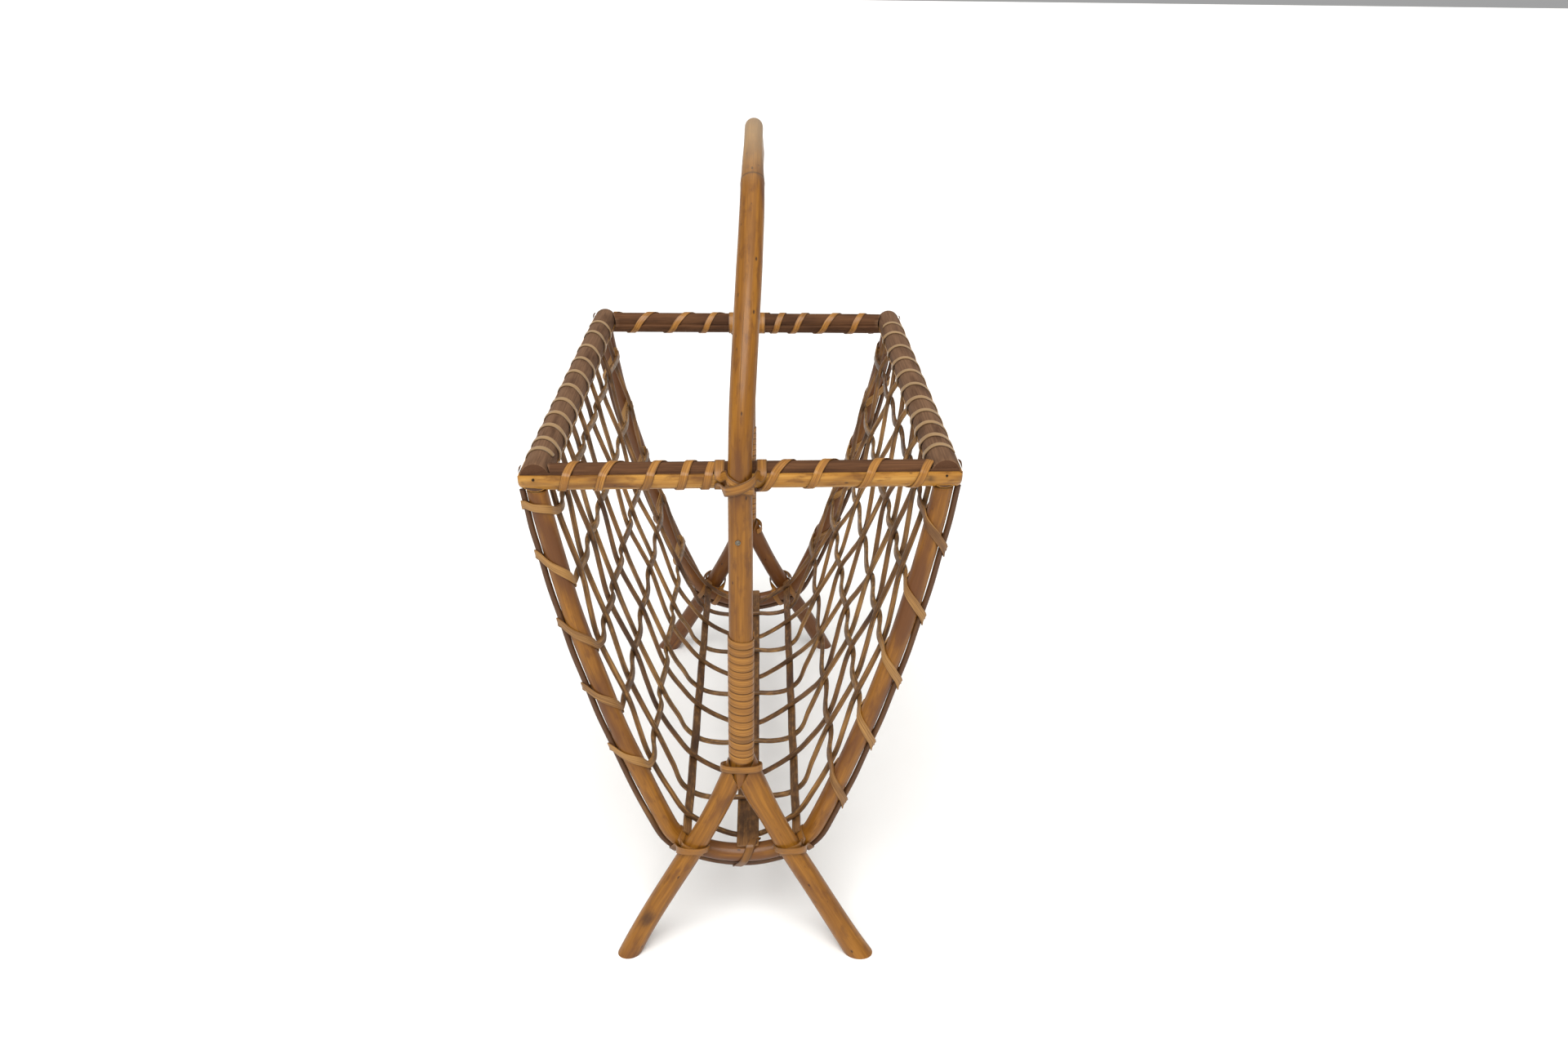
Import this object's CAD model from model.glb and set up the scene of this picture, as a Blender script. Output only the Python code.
"""Dressed model of a free-standing magazine basket in rattan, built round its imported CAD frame.

Sizes are in millimetres and every finished mesh is scaled to metres. X runs across the basket, Y along it
and Z up. What both ends share is built for the near end and turned half round for the far end.
"""

import logging
from bisect import bisect_right
from collections.abc import Callable, Iterable, Sequence
from dataclasses import dataclass, field
from enum import Enum
from math import acos, atan2, ceil, copysign, cos, exp, hypot, pi, radians, remainder, sin

import bmesh
import bpy
from mathutils import Matrix, Vector, noise


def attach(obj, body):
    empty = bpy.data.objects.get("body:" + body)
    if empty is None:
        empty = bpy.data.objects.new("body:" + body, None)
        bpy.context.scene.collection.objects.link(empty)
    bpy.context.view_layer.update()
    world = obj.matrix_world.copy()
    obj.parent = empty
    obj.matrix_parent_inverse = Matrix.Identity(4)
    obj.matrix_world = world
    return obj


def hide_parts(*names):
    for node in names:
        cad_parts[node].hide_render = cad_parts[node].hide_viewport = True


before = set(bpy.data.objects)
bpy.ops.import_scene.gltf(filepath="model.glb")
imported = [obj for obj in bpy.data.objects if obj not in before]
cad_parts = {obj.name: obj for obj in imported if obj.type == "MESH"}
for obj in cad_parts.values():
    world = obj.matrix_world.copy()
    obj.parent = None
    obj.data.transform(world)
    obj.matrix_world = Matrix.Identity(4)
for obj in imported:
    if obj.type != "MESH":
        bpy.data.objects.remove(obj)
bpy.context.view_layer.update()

logging.basicConfig(level=logging.INFO, format="%(message)s")
log = logging.getLogger("basket")

BMesh = bmesh.types.BMesh
Reach = Callable[[Vector], bool]

MM = 0.001
GAP = 0.3
UP = Vector((0, 0, 1))
RIGHTWARD = Vector((1, 0, 0))
FRONT = Vector((0, -1, 0))
SHARP_ANGLE = radians(38)
HALF_TURN = Matrix.Rotation(pi, 4, "Z")


class End(Enum):
    """Which end of the basket a piece belongs to."""

    NEAR = "near"
    FAR = "far"

    def turned(self) -> Matrix:
        """Transform from the near end, where pieces are built, to this end."""
        return Matrix.Identity(4) if self is End.NEAR else HALF_TURN


class Side(Enum):
    """Left or right of the basket's middle, as seen from its near end."""

    LEFT = -1
    RIGHT = 1

    @property
    def word(self) -> str:
        """The side's word in piece names."""
        return self.name.lower()

    @property
    def flip(self) -> Matrix:
        """Transform from the right, where pieces are built, to this side."""
        return Matrix.Scale(self.value, 4, RIGHTWARD)


class Cut(Enum):
    """How the two ends of a swept piece are finished.

    Each value pairs distances from the end with the share of the full section there.
    """

    SAWN = ((0.0, 0.93), (0.25, 0.98), (0.7, 1.0))
    WORN = ((0.0, 0.8), (0.5, 0.9), (1.5, 0.97), (3.0, 1.0))
    THIN = ((0.0, 0.72), (0.3, 0.94), (0.8, 1.0))


def clamped(value: float, low: float = 0.0, high: float = 1.0) -> float:
    """Value kept between two limits."""
    return max(low, min(value, high))


def eased(share: float) -> float:
    """Share from 0 to 1 that starts and stops softly."""
    return share * share * (3 - 2 * share)


@dataclass
class Place:
    """A place on the line of a pole or strip.

    Attributes:
        point: where the line passes.
        normal: direction square to the line that the section's second axis follows.
        shade: how much darker the piece is here, from 0 to 1.
    """

    point: Vector
    normal: Vector
    shade: float = 0.0


class Track:
    """Smooth line through places, read at any distance along it."""

    SHORTEST = 1e-6
    REACH = 0.6

    def __init__(self, places: Sequence[Place], fineness: float = 1.5) -> None:
        """Rounds the bends between the places.

        Args:
            places: the places in order.
            fineness: longest step of the rounded line.
        """
        self.places = [places[0]]
        for i in range(len(places) - 1):
            before = places[max(i - 1, 0)]
            start, stop = places[i], places[i + 1]
            after = places[min(i + 2, len(places) - 1)]
            span = (stop.point - start.point).length
            steps = max(1, ceil(span / fineness))
            for k in range(1, steps + 1):
                self.places.append(self.between(before, start, stop, after, k / steps))
        self.reach = [0.0]
        for a, b in zip(self.places, self.places[1:]):
            self.reach.append(self.reach[-1] + (b.point - a.point).length)

    @property
    def length(self) -> float:
        """Length of the whole line."""
        return self.reach[-1]

    @staticmethod
    def between(before: Place, start: Place, stop: Place, after: Place, share: float) -> Place:
        """Place between two others on a curve that also heeds their neighbours.

        Args:
            before: the place before the span.
            start: where the span starts.
            stop: where it stops.
            after: the place after the span.
            share: how far along the span, from 0 to 1.

        Returns:
            The place on the rounded line.
        """
        span = (stop.point - start.point).length
        ahead = Track.slope(before.point, start.point, stop.point) * span
        behind = Track.slope(start.point, stop.point, after.point) * span
        s, t = share, 1 - share
        point = start.point * (t * t * (1 + 2 * s)) + stop.point * (s * s * (3 - 2 * s))
        point += ahead * (s * t * t) - behind * (s * s * t)
        normal = start.normal.lerp(stop.normal, share).normalized()
        return Place(point, normal, start.shade * t + stop.shade * s)

    @staticmethod
    def slope(before: Vector, middle: Vector, after: Vector) -> Vector:
        """Direction of the rounded line at the middle of three points, per unit of length.

        Args:
            before: the point before.
            middle: where the direction is taken.
            after: the point after.

        Returns:
            The direction.
        """
        first, second = (middle - before).length, (after - middle).length
        if min(first, second) < Track.SHORTEST:
            return (after - before).normalized()
        return ((middle - before) / first * second + (after - middle) / second * first) / (first + second)

    def at(self, distance: float) -> Place:
        """Place at a distance from the start of the line.

        Args:
            distance: distance from the start.

        Returns:
            The place there.
        """
        i = min(max(bisect_right(self.reach, distance) - 1, 0), len(self.places) - 2)
        step = self.reach[i + 1] - self.reach[i]
        share = (distance - self.reach[i]) / step if step > self.SHORTEST else 0.0
        a, b = self.places[i], self.places[i + 1]
        normal = a.normal.lerp(b.normal, share).normalized()
        return Place(a.point.lerp(b.point, share), normal, a.shade + (b.shade - a.shade) * share)

    def frame_at(self, distance: float) -> tuple[Place, Vector]:
        """Place at a distance, and the direction across the piece there.

        Args:
            distance: distance from the start.

        Returns:
            The place and the direction.
        """
        low, high = max(distance - self.REACH, 0.0), min(distance + self.REACH, self.length)
        along = self.at(high).point - self.at(low).point
        place = self.at(distance)
        across = along.cross(place.normal).normalized()
        return place, across


@dataclass(frozen=True)
class Section:
    """Outline of a pole or strip, square to its line.

    Attributes:
        width: size across the piece.
        thickness: size along its normal.
        sides: number of corners.
        fullness: 1 for an ellipse, less for a flatter strip with round edges.
    """

    width: float
    thickness: float
    sides: int
    fullness: float = 1.0

    @classmethod
    def pole(cls, radius: float, sides: int) -> "Section":
        """Outline of a round pole."""
        return cls(2 * radius, 2 * radius, sides)

    def ring(self, bm: BMesh) -> list[bmesh.types.BMVert]:
        """Makes the outline as a ring of edges.

        Args:
            bm: the mesh to add it to.

        Returns:
            The ring's vertices in order.
        """
        made = bmesh.ops.create_circle(bm, segments=self.sides, radius=1.0)["verts"]
        for vert in made:
            x, y = vert.co.xy
            wide = copysign(abs(x) ** self.fullness, x) * self.width / 2
            thick = copysign(abs(y) ** self.fullness, y) * self.thickness / 2
            vert.co = (wide, thick, 0)
        return made


@dataclass(frozen=True)
class RailSection(Section):
    """Outline of a rail whose skin is left on the outer and lower half.

    Attributes:
        peel: depth of the peeled half below the skin.
        edge_angle: angle of the skin's edge above the outer side.
        edge_gap: share of each half turn left free beside the skin's edges.
    """

    peel: float = 0.7
    edge_angle: float = radians(15)
    edge_gap: float = 0.0075
    edge_round: float = 0.12
    edge_keenness: float = 40.0

    def ring(self, bm: BMesh) -> list[bmesh.types.BMVert]:
        """Makes the outline with its two skin edges.

        Args:
            bm: the mesh to add it to.

        Returns:
            The ring's vertices in order.
        """
        made = bmesh.ops.create_circle(bm, segments=self.sides, radius=1.0)["verts"]
        half = self.sides // 2
        for i, vert in enumerate(made):
            skin = i < half
            step = (i % half) / (half - 1)
            edge = min(step, 1 - step)
            turn = self.edge_angle - pi * (step * (1 - 2 * self.edge_gap) + self.edge_gap)
            turn -= 0 if skin else pi
            thinned = self.edge_round * exp(-edge * self.edge_keenness)
            radius = self.width / 2 - (thinned if skin else self.peel)
            vert.co = (radius * cos(turn), radius * sin(turn), 0)
        return made


@dataclass
class Growth:
    """How a pole grew: its taper, its joints and its unevenness.

    Attributes:
        joints: distances of the ring scars along the pole.
        taper: size over the nominal one, by distance.
        uneven: how much the thickness wanders.
        wander: how far the line strays from its track.
        seed: number that sets one piece's unevenness apart from another's.
        knots: distance, angle round the section and size of each dark knot.
        flatten: thickness over the nominal one, by distance.
    """

    joints: Sequence[float] = ()
    taper: Callable[[float], float] = lambda distance: 1.0
    uneven: float = 0.012
    wander: float = 0.0
    seed: float = 0.0
    knots: Sequence[tuple[float, float, float]] = ()
    flatten: Callable[[float], float] = lambda distance: 1.0
    uneven_length: float = 31.0
    wander_length: float = 55.0
    knot_stretch: float = 1.6
    ridge: float = 0.035
    ridge_length: float = 3.2
    groove: float = 0.03
    groove_place: float = 0.8
    groove_length: float = 0.8
    scar_length: float = 0.9

    def knot(self, spot: Vector, distance: float) -> float:
        """How much of a knot shows at a spot of the section, from 0 to 1.

        Args:
            spot: place in the section.
            distance: distance along the pole.

        Returns:
            The share of the knot's colour.
        """
        shown = 0.0
        around = atan2(spot.y, spot.x)
        for place, turn, size in self.knots:
            aside = remainder(around - turn, 2 * pi) * hypot(spot.x, spot.y) / size
            along = (distance - place) / size / self.knot_stretch
            shown = max(shown, min(2 * exp(-(aside**2) - along**2), 1.0))
        return shown

    def swell(self, distance: float) -> float:
        """Size of the section at a distance, over its nominal size.

        Args:
            distance: distance along the pole.

        Returns:
            The size, near 1.
        """
        grown = noise.noise(Vector((distance / self.uneven_length, self.seed, 0)))
        size = self.taper(distance) + self.uneven * grown
        for joint in self.joints:
            away = distance - joint
            size += self.ridge * exp(-((away / self.ridge_length) ** 2))
            size -= self.groove * exp(-(((away - self.groove_place) / self.groove_length) ** 2))
        return size

    def scar(self, distance: float) -> float:
        """How much of a joint's dark ring shows at a distance, from 0 to 1."""
        places = (joint + self.groove_place for joint in self.joints)
        return min(1.0, sum(exp(-(((distance - place) / self.scar_length) ** 2)) for place in places))

    def stray(self, distance: float) -> Vector:
        """Offset of the grown line from its track."""
        x, y = (noise.noise(Vector((distance / self.wander_length, self.seed, row))) for row in (3.7, 9.1))
        return Vector((x, y, 0)) * self.wander


def read_off(knots: Sequence[tuple[float, float]], spot: float) -> float:
    """Value at a spot of a line drawn through knots.

    Args:
        knots: pairs of spot and value, in order.
        spot: where to read.

    Returns:
        The value, level before the first knot and after the last.
    """
    if spot <= knots[0][0]:
        return knots[0][1]
    for (low, start), (high, stop) in zip(knots, knots[1:]):
        if spot < high:
            return start + (stop - start) * (spot - low) / (high - low)
    return knots[-1][1]


class CaneMesh:
    """A mesh of cane swept along a track, with the layers that the finishes read.

    The layer "straight" holds the place in the section and the distance along the piece, so that the grain
    follows every bend. The layer "marks" holds joint scars, dirt and the tone of the piece, and "cut" marks
    the faces of cut ends.
    """

    JOINT_RINGS = (-3.2, -1.6, -0.6, 0.2, 0.8, 1.4, 2.2, 3.6)
    MERGE = 1e-4

    def __init__(self, name: str, tone: float = 0.0) -> None:
        """Starts an empty mesh.

        Args:
            name: name of the piece.
            tone: how dark the piece is beside its fellows, minus for lighter.
        """
        self.name = name
        self.tone = tone
        self.seed = sum(ord(letter) * (i + 3) for i, letter in enumerate(name)) % 997 / 10
        self.grain_start = self.seed * 20
        self.bm = bmesh.new()
        self.straight = self.bm.verts.layers.float_vector.new("straight")
        self.marks = self.bm.verts.layers.float_vector.new("marks")
        self.cut = self.bm.faces.layers.float.new("cut")

    def sweep(self, track: Track, section: Section, spacing: float, growth: Growth, ends: Cut) -> "CaneMesh":
        """Sweeps a section along a track and closes both ends.

        Args:
            track: the line to follow.
            section: the outline.
            spacing: longest step along the line.
            growth: taper, joints and unevenness.
            ends: how the ends are finished.

        Returns:
            This mesh.
        """
        stations = self.stations(track.length, spacing, growth, ends)
        ring = section.ring(self.bm)
        for vert in ring:
            vert[self.straight] = Vector((vert.co.x, vert.co.y, 0))
        edges = list(self.bm.edges)
        first = list(edges)
        for i, (distance, inset) in enumerate(stations):
            if i:
                made = bmesh.ops.extrude_edge_only(self.bm, edges=edges)["geom"]
                ring = [item for item in made if isinstance(item, bmesh.types.BMVert)]
                fresh = set(ring)
                edges = [
                    item
                    for item in made
                    if isinstance(item, bmesh.types.BMEdge) and fresh.issuperset(item.verts)
                ]
            self.lay(ring, track, distance, inset, growth)
        for loop in (first, edges):
            cap = bmesh.ops.contextual_create(self.bm, geom=loop)["faces"][0]
            cap[self.cut] = 1.0
        bmesh.ops.recalc_face_normals(self.bm, faces=self.bm.faces)
        return self

    @staticmethod
    def stations(length: float, spacing: float, growth: Growth, ends: Cut) -> list[tuple[float, float]]:
        """Distances of the rings along a piece, with the inset of each.

        Args:
            length: length of the piece.
            spacing: longest step.
            growth: joints that need closer rings.
            ends: the inset near each end.

        Returns:
            Pairs of distance and share of the full section.
        """
        rim = ends.value[-1][0]
        count = max(1, ceil((length - 2 * rim) / spacing))
        middle = [rim + (length - 2 * rim) * i / count for i in range(count + 1)]
        for joint in growth.joints:
            middle = [d for d in middle if abs(d - joint) > spacing / 2 or d in (rim, length - rim)]
            middle += [joint + away for away in CaneMesh.JOINT_RINGS]
        stations = list(ends.value[:-1])
        stations += [(d, 1.0) for d in sorted(middle)]
        stations += [(length - d, size) for d, size in reversed(ends.value[:-1])]
        return stations

    def lay(
        self, ring: Iterable[bmesh.types.BMVert], track: Track, distance: float, inset: float, growth: Growth
    ) -> None:
        """Lays a ring of vertices square to the track.

        Args:
            ring: the ring's vertices.
            track: the line.
            distance: where along the line.
            inset: share of the full section.
            growth: taper, joints and unevenness.
        """
        place, across = track.frame_at(distance)
        size = growth.swell(distance) * inset
        thin = size * growth.flatten(distance)
        stray = growth.stray(distance)
        normal = place.normal
        centre = place.point + across * stray.x + normal * stray.y
        scar = growth.scar(distance)
        for vert in ring:
            spot = vert[self.straight]
            vert.co = centre + across * (spot.x * size) + normal * (spot.y * thin)
            shown = max(scar, growth.knot(spot, distance))
            vert[self.straight] = Vector((spot.x, spot.y, distance + self.grain_start))
            vert[self.marks] = Vector((shown, place.shade, self.tone))

    def slice(
        self, point: Vector, normal: Vector, soften: float = 0.0, within: Reach = lambda spot: True
    ) -> "CaneMesh":
        """Cuts the mesh with a plane and closes the cut.

        Args:
            point: a point of the plane.
            normal: the side that is cut away.
            soften: width of the rounded edge of the cut.
            within: tells which part of the mesh the cut may reach.

        Returns:
            This mesh.
        """
        bm = self.bm
        faces = [face for face in bm.faces if within(face.calc_center_median())]
        geom = list({item for face in faces for item in (*face.verts, *face.edges)}) + faces
        made = bmesh.ops.bisect_plane(bm, geom=geom, plane_co=point, plane_no=normal, clear_outer=True)
        edges = [item for item in made["geom_cut"] if isinstance(item, bmesh.types.BMEdge)]
        cap = bmesh.ops.contextual_create(bm, geom=edges)["faces"]
        for face in cap:
            face[self.cut] = 1.0
        if soften:
            rim = [edge for face in cap for edge in face.edges]
            shape = {"offset_type": "OFFSET", "segments": 2, "profile": 0.5, "clamp_overlap": True}
            bmesh.ops.bevel(bm, geom=rim, offset=soften, affect="EDGES", material=-1, **shape)
        return self

    def finish(self, finish: "Finish", turn: Matrix = Matrix.Identity(4)) -> None:
        """Turns the mesh into a finished object on body "root", in place of the CAD node of its name.

        Args:
            finish: the material.
            turn: transform to its own end or side.
        """
        bm = self.bm
        bmesh.ops.remove_doubles(bm, verts=bm.verts, dist=self.MERGE)
        bmesh.ops.transform(bm, matrix=turn, verts=bm.verts)
        bmesh.ops.recalc_face_normals(bm, faces=bm.faces)
        for vert in bm.verts:
            vert.co = WARP.settled(vert.co) * MM
            vert[self.straight] = vert[self.straight] * MM
        for face in bm.faces:
            face.smooth = True
        for edge in bm.edges:
            edge.smooth = len(edge.link_faces) == 2 and edge.calc_face_angle(0.0) < SHARP_ANGLE
        piece = placed(self.name + "_dressed", bm)
        piece.data.materials.append(finish.material())
        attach(piece, "root")
        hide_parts(self.name)
        log.info("%s: %d faces", self.name, len(piece.data.polygons))


def placed(name: str, bm: BMesh) -> bpy.types.Object:
    """Puts a mesh into the scene as an object and frees it.

    Args:
        name: name of the object and its mesh.
        bm: the mesh.

    Returns:
        The object.
    """
    mesh = bpy.data.meshes.new(name)
    bm.to_mesh(mesh)
    bm.free()
    piece = bpy.data.objects.new(name, mesh)
    bpy.context.scene.collection.objects.link(piece)
    return piece


@dataclass(frozen=True)
class Warp:
    """How the hand-made basket stands out of true.

    The near end of the rim hangs by the drop and leans to the left, the top of the handle is shifted to the
    right, and the feet are tucked in.
    """

    drop: float = 4.0
    lean: float = 0.0154
    near_limits: tuple[float, float] = (-0.1, 1.1)
    shift: float = 6.4
    shift_height: float = 165.0
    tuck: float = 3.0
    tuck_height: float = 80.0
    tuck_from: float = 150.0

    def settled(self, point: Vector) -> Vector:
        """Place of a point on the real basket.

        Args:
            point: the point on the true shape.

        Returns:
            The point with the lean of the rim and the handle.
        """
        near = clamped(0.5 - point.y / RIM.length, *self.near_limits)
        high = clamped(point.z / RIM.height)
        lift = (point.x * self.lean - self.drop) * high * near
        aside = self.shift * eased(clamped((point.z - RIM.height) / self.shift_height))
        low = max(0.0, 1 - point.z / self.tuck_height)
        tuck = copysign(self.tuck * low * low, point.y) if abs(point.y) > self.tuck_from else 0.0
        return Vector((point.x + aside, point.y - tuck, point.z + lift))


WARP = Warp()


# Finishes


Material = bpy.types.Material
Socket = bpy.types.NodeSocket
Colour = tuple[float, float, float, float]
Gloss = tuple[tuple[str, float], ...]


@dataclass(frozen=True)
class Pattern:
    """Noise that a finish draws on the cane.

    Its scale is how fine it is across, through and along the piece, per metre, and its detail the number of
    finer layers in it. It starts to show at its low value and shows in full at its high one.
    """

    scale: tuple[float, float, float]
    detail: float = 3.0
    low: float = 0.0
    high: float = 1.0


class Wiring:
    """Nodes of one material, added and joined by short calls."""

    def __init__(self, name: str) -> None:
        """Starts a material with an empty node tree.

        Args:
            name: name of the material.
        """
        self.made = bpy.data.materials.new(name)
        self.made.use_nodes = True
        self.tree = self.made.node_tree
        self.tree.nodes.clear()
        self.output = self.tree.nodes.new("ShaderNodeOutputMaterial")

    def put(self, kind: str, values: dict | None = None, **settings: object) -> bpy.types.Node:
        """Adds a node.

        Args:
            kind: Blender's name of the node, without its prefix.
            values: socket values or outputs to link, by the name or number of the input.
            settings: properties of the node.

        Returns:
            The node.
        """
        node = self.tree.nodes.new("ShaderNode" + kind)
        for key, value in settings.items():
            setattr(node, key, value)
        for key, value in (values or {}).items():
            if isinstance(value, bpy.types.NodeSocket):
                self.tree.links.new(value, node.inputs[key])
            else:
                node.inputs[key].default_value = value
        return node

    def layer(self, name: str, output: str = "Vector") -> Socket:
        """Values of a layer of the piece."""
        return self.put("Attribute", attribute_name=name).outputs[output]

    def part(self, vector: Socket, axis: int) -> Socket:
        """One number of a vector."""
        return self.put("SeparateXYZ", {0: vector}).outputs[axis]

    def stretched(self, vector: Socket, scale: Sequence[float]) -> Socket:
        """A vector with each axis scaled."""
        return self.put("Mapping", {"Vector": vector, "Scale": scale}).outputs[0]

    def cloud(self, vector: Socket, pattern: Pattern) -> Socket:
        """Noise of a pattern over a vector."""
        values = {"Vector": self.stretched(vector, pattern.scale), "Scale": 1.0, "Detail": pattern.detail}
        return self.put("TexNoise", {**values, "Roughness": 0.55}).outputs["Fac"]

    def cells(self, vector: Socket, pattern: Pattern) -> bpy.types.Node:
        """Scattered cells of a pattern over a vector."""
        values = {"Vector": self.stretched(vector, pattern.scale), "Scale": 1.0}
        return self.put("TexVoronoi", values)

    def shown(self, value: Socket, pattern: Pattern) -> Socket:
        """Value spread smoothly from 0 to 1 over a pattern's range."""
        values = {"Value": value, "From Min": pattern.low, "From Max": pattern.high}
        return self.put("MapRange", values, interpolation_type="SMOOTHSTEP").outputs[0]

    def drawn(self, vector: Socket, pattern: Pattern) -> Socket:
        """How much of a pattern shows over a vector, from 0 to 1."""
        return self.shown(self.cloud(vector, pattern), pattern)

    def blend(self, share: object, first: object, second: object, way: str = "MIX") -> Socket:
        """Mix of two colours."""
        values = {0: share, 6: first, 7: second}
        return self.put("Mix", values, data_type="RGBA", blend_type=way, clamp_factor=True).outputs[2]

    def reckon(self, way: str, first: object, second: object = 0.0) -> Socket:
        """Arithmetic on two numbers."""
        return self.put("Math", {0: first, 1: second}, operation=way).outputs[0]

    def times(self, first: object, second: object) -> Socket:
        """Product of two numbers."""
        return self.reckon("MULTIPLY", first, second)

    def plus(self, first: object, second: object) -> Socket:
        """Sum of two numbers."""
        return self.reckon("ADD", first, second)

    def most(self, first: Socket, second: Socket) -> Socket:
        """Larger of two numbers."""
        return self.reckon("MAXIMUM", first, second)

    def spread(self, value: Socket, low: float, high: float) -> Socket:
        """Value from 0 to 1 turned into a range of numbers."""
        return self.put("MapRange", {"Value": value, "To Min": low, "To Max": high}).outputs[0]

    def close(self, values: dict, height: Socket, depth: float) -> Material:
        """Joins everything to the surface.

        Args:
            values: what goes to the shader's sockets.
            height: relief of the surface, from 0 to 1.
            depth: depth of the relief in metres.

        Returns:
            The material.
        """
        bump = self.put("Bump", {"Height": height, "Strength": 1.0, "Distance": depth})
        shader = self.put("BsdfPrincipled", {**values, "Normal": bump.outputs[0]})
        self.tree.links.new(shader.outputs[0], self.output.inputs[0])
        return self.made


def linear(value: int) -> float:
    """Linear value of a screen value from 0 to 255."""
    share = value / 255
    return share / 12.92 if share <= 0.04045 else ((share + 0.055) / 1.055) ** 2.4


def paint(red: int, green: int, blue: int) -> Colour:
    """Linear colour of three screen values from 0 to 255."""
    return linear(red), linear(green), linear(blue), 1.0


def grey(level: float) -> Colour:
    """Linear grey, which is white at 1."""
    return level, level, level, 1.0


@dataclass
class Finish:
    """A finish: the record's slot that it fills, what its name adds to that, and its gloss and relief."""

    slot: str
    variant: str = ""
    gloss: Gloss = ()
    depth: float = 0.0001
    kept: Material | None = field(default=None, init=False)

    def material(self) -> Material:
        """The material, made on its first use."""
        self.kept = self.kept or self.wire(Wiring(self.slot + self.variant + "_finish"))
        return self.kept

    def wire(self, wiring: Wiring) -> Material:
        """Builds the nodes."""
        raise NotImplementedError


@dataclass
class CaneSkin(Finish):
    """Golden skin of whole rattan: long streaks, specks, joint scars and old varnish.

    The scars' colour also draws specks and cracks. Aging is how much browner a dark piece is.
    """

    golden: Colour = paint(130, 82, 20)
    pale: Colour = paint(157, 104, 30)
    brown: Colour = paint(102, 60, 22)
    scar: Colour = paint(58, 34, 18)
    pith: Colour = paint(138, 104, 62)
    bleached: Colour = paint(186, 160, 124)
    faded: Colour = (0.86, 0.84, 0.82, 1.0)
    roughness: float = 0.36
    aging: float = 0.16
    gloss: Gloss = (("Specular IOR Level", 0.3), ("Coat Weight", 0.14), ("Coat Roughness", 0.14))
    depth: float = 0.00035
    streaks: Pattern = Pattern((420, 420, 22), 4.0, 0.36, 0.76)
    patches: Pattern = Pattern((70, 70, 16), 3.0, 0.47, 0.72)
    fibres: Pattern = Pattern((2600, 2600, 45), 2.0, 0.3, 0.75)
    mottle: Pattern = Pattern((240, 240, 90), 4.0, 0.5, 0.72)
    cracks: Pattern = Pattern((900, 900, 9), 2.0, 0.69, 0.74)
    specks: Pattern = Pattern((230, 230, 110), low=0.2, high=0.09)
    chosen: Pattern = Pattern((1, 1, 1), low=0.74, high=0.8)
    pores: Pattern = Pattern((1500, 1500, 60), low=0.34, high=0.18)
    rubbed: Pattern = Pattern((300, 300, 60))
    mottle_share: float = 0.6
    crack_share: float = 0.55
    joint_share: float = 0.75
    dirt_share: float = 0.8
    speck_share: float = 0.85
    pore_share: float = 0.6
    fibre_relief: float = 0.35
    dark_relief: float = 0.4
    rough_spread: float = 0.2

    def skin(self, wiring: Wiring) -> tuple[Socket, Socket]:
        """Colour and relief of the skin.

        Args:
            wiring: the material's nodes.

        Returns:
            The colour and the relief.
        """
        line = wiring.layer("straight")
        joint, dirt, tone = (wiring.part(wiring.layer("marks"), axis) for axis in range(3))
        fibre = wiring.cloud(line, self.fibres)
        colour = wiring.blend(wiring.drawn(line, self.streaks), self.golden, self.pale)
        aged = wiring.plus(wiring.cloud(line, self.patches), wiring.times(tone, self.aging))
        colour = wiring.blend(wiring.shown(aged, self.patches), colour, self.brown)
        mottle = wiring.times(wiring.drawn(line, self.mottle), self.mottle_share)
        colour = wiring.blend(mottle, colour, self.brown)
        dark = wiring.times(wiring.drawn(line, self.cracks), self.crack_share)
        dark = wiring.most(dark, self.speck(wiring, line))
        dark = wiring.most(dark, wiring.times(joint, self.joint_share))
        dark = wiring.most(dark, wiring.times(dirt, self.dirt_share))
        colour = wiring.blend(dark, colour, self.scar)
        colour = wiring.blend(wiring.times(dirt, -1.0), colour, self.bleached)
        fine = wiring.blend(wiring.shown(fibre, self.fibres), self.faded, grey(1.0))
        colour = wiring.blend(1.0, colour, fine, "MULTIPLY")
        sunk = wiring.times(dark, self.dark_relief)
        return colour, wiring.reckon("SUBTRACT", wiring.times(fibre, self.fibre_relief), sunk)

    def speck(self, wiring: Wiring, line: Socket) -> Socket:
        """Small dark specks scattered over the skin.

        Args:
            wiring: the material's nodes.
            line: the layer along the piece.

        Returns:
            How dark a speck makes the skin, from 0 to 1.
        """
        cell = wiring.cells(line, self.specks)
        chosen = wiring.shown(wiring.part(cell.outputs["Color"], 0), self.chosen)
        near = wiring.shown(cell.outputs["Distance"], self.specks)
        return wiring.times(wiring.times(chosen, near), self.speck_share)

    def ended(self, wiring: Wiring, colour: Socket) -> Socket:
        """Colour with the porous pith on cut ends.

        Args:
            wiring: the material's nodes.
            colour: the colour elsewhere.

        Returns:
            The colour everywhere.
        """
        pores = wiring.cells(wiring.layer("straight"), self.pores)
        hole = wiring.times(wiring.shown(pores.outputs["Distance"], self.pores), self.pore_share)
        pith = wiring.blend(hole, self.pith, self.scar)
        return wiring.blend(wiring.layer("cut", "Fac"), colour, pith)

    def wire(self, wiring: Wiring) -> Material:
        """Builds the nodes of the golden skin.

        Args:
            wiring: the material's nodes.

        Returns:
            The material.
        """
        colour, relief = self.skin(wiring)
        rubbed = wiring.cloud(wiring.layer("straight"), self.rubbed)
        rough = wiring.spread(rubbed, self.roughness, self.roughness + self.rough_spread)
        values = {"Base Color": self.ended(wiring, colour), "Roughness": rough}
        return wiring.close(values | dict(self.gloss), relief, self.depth)


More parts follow.
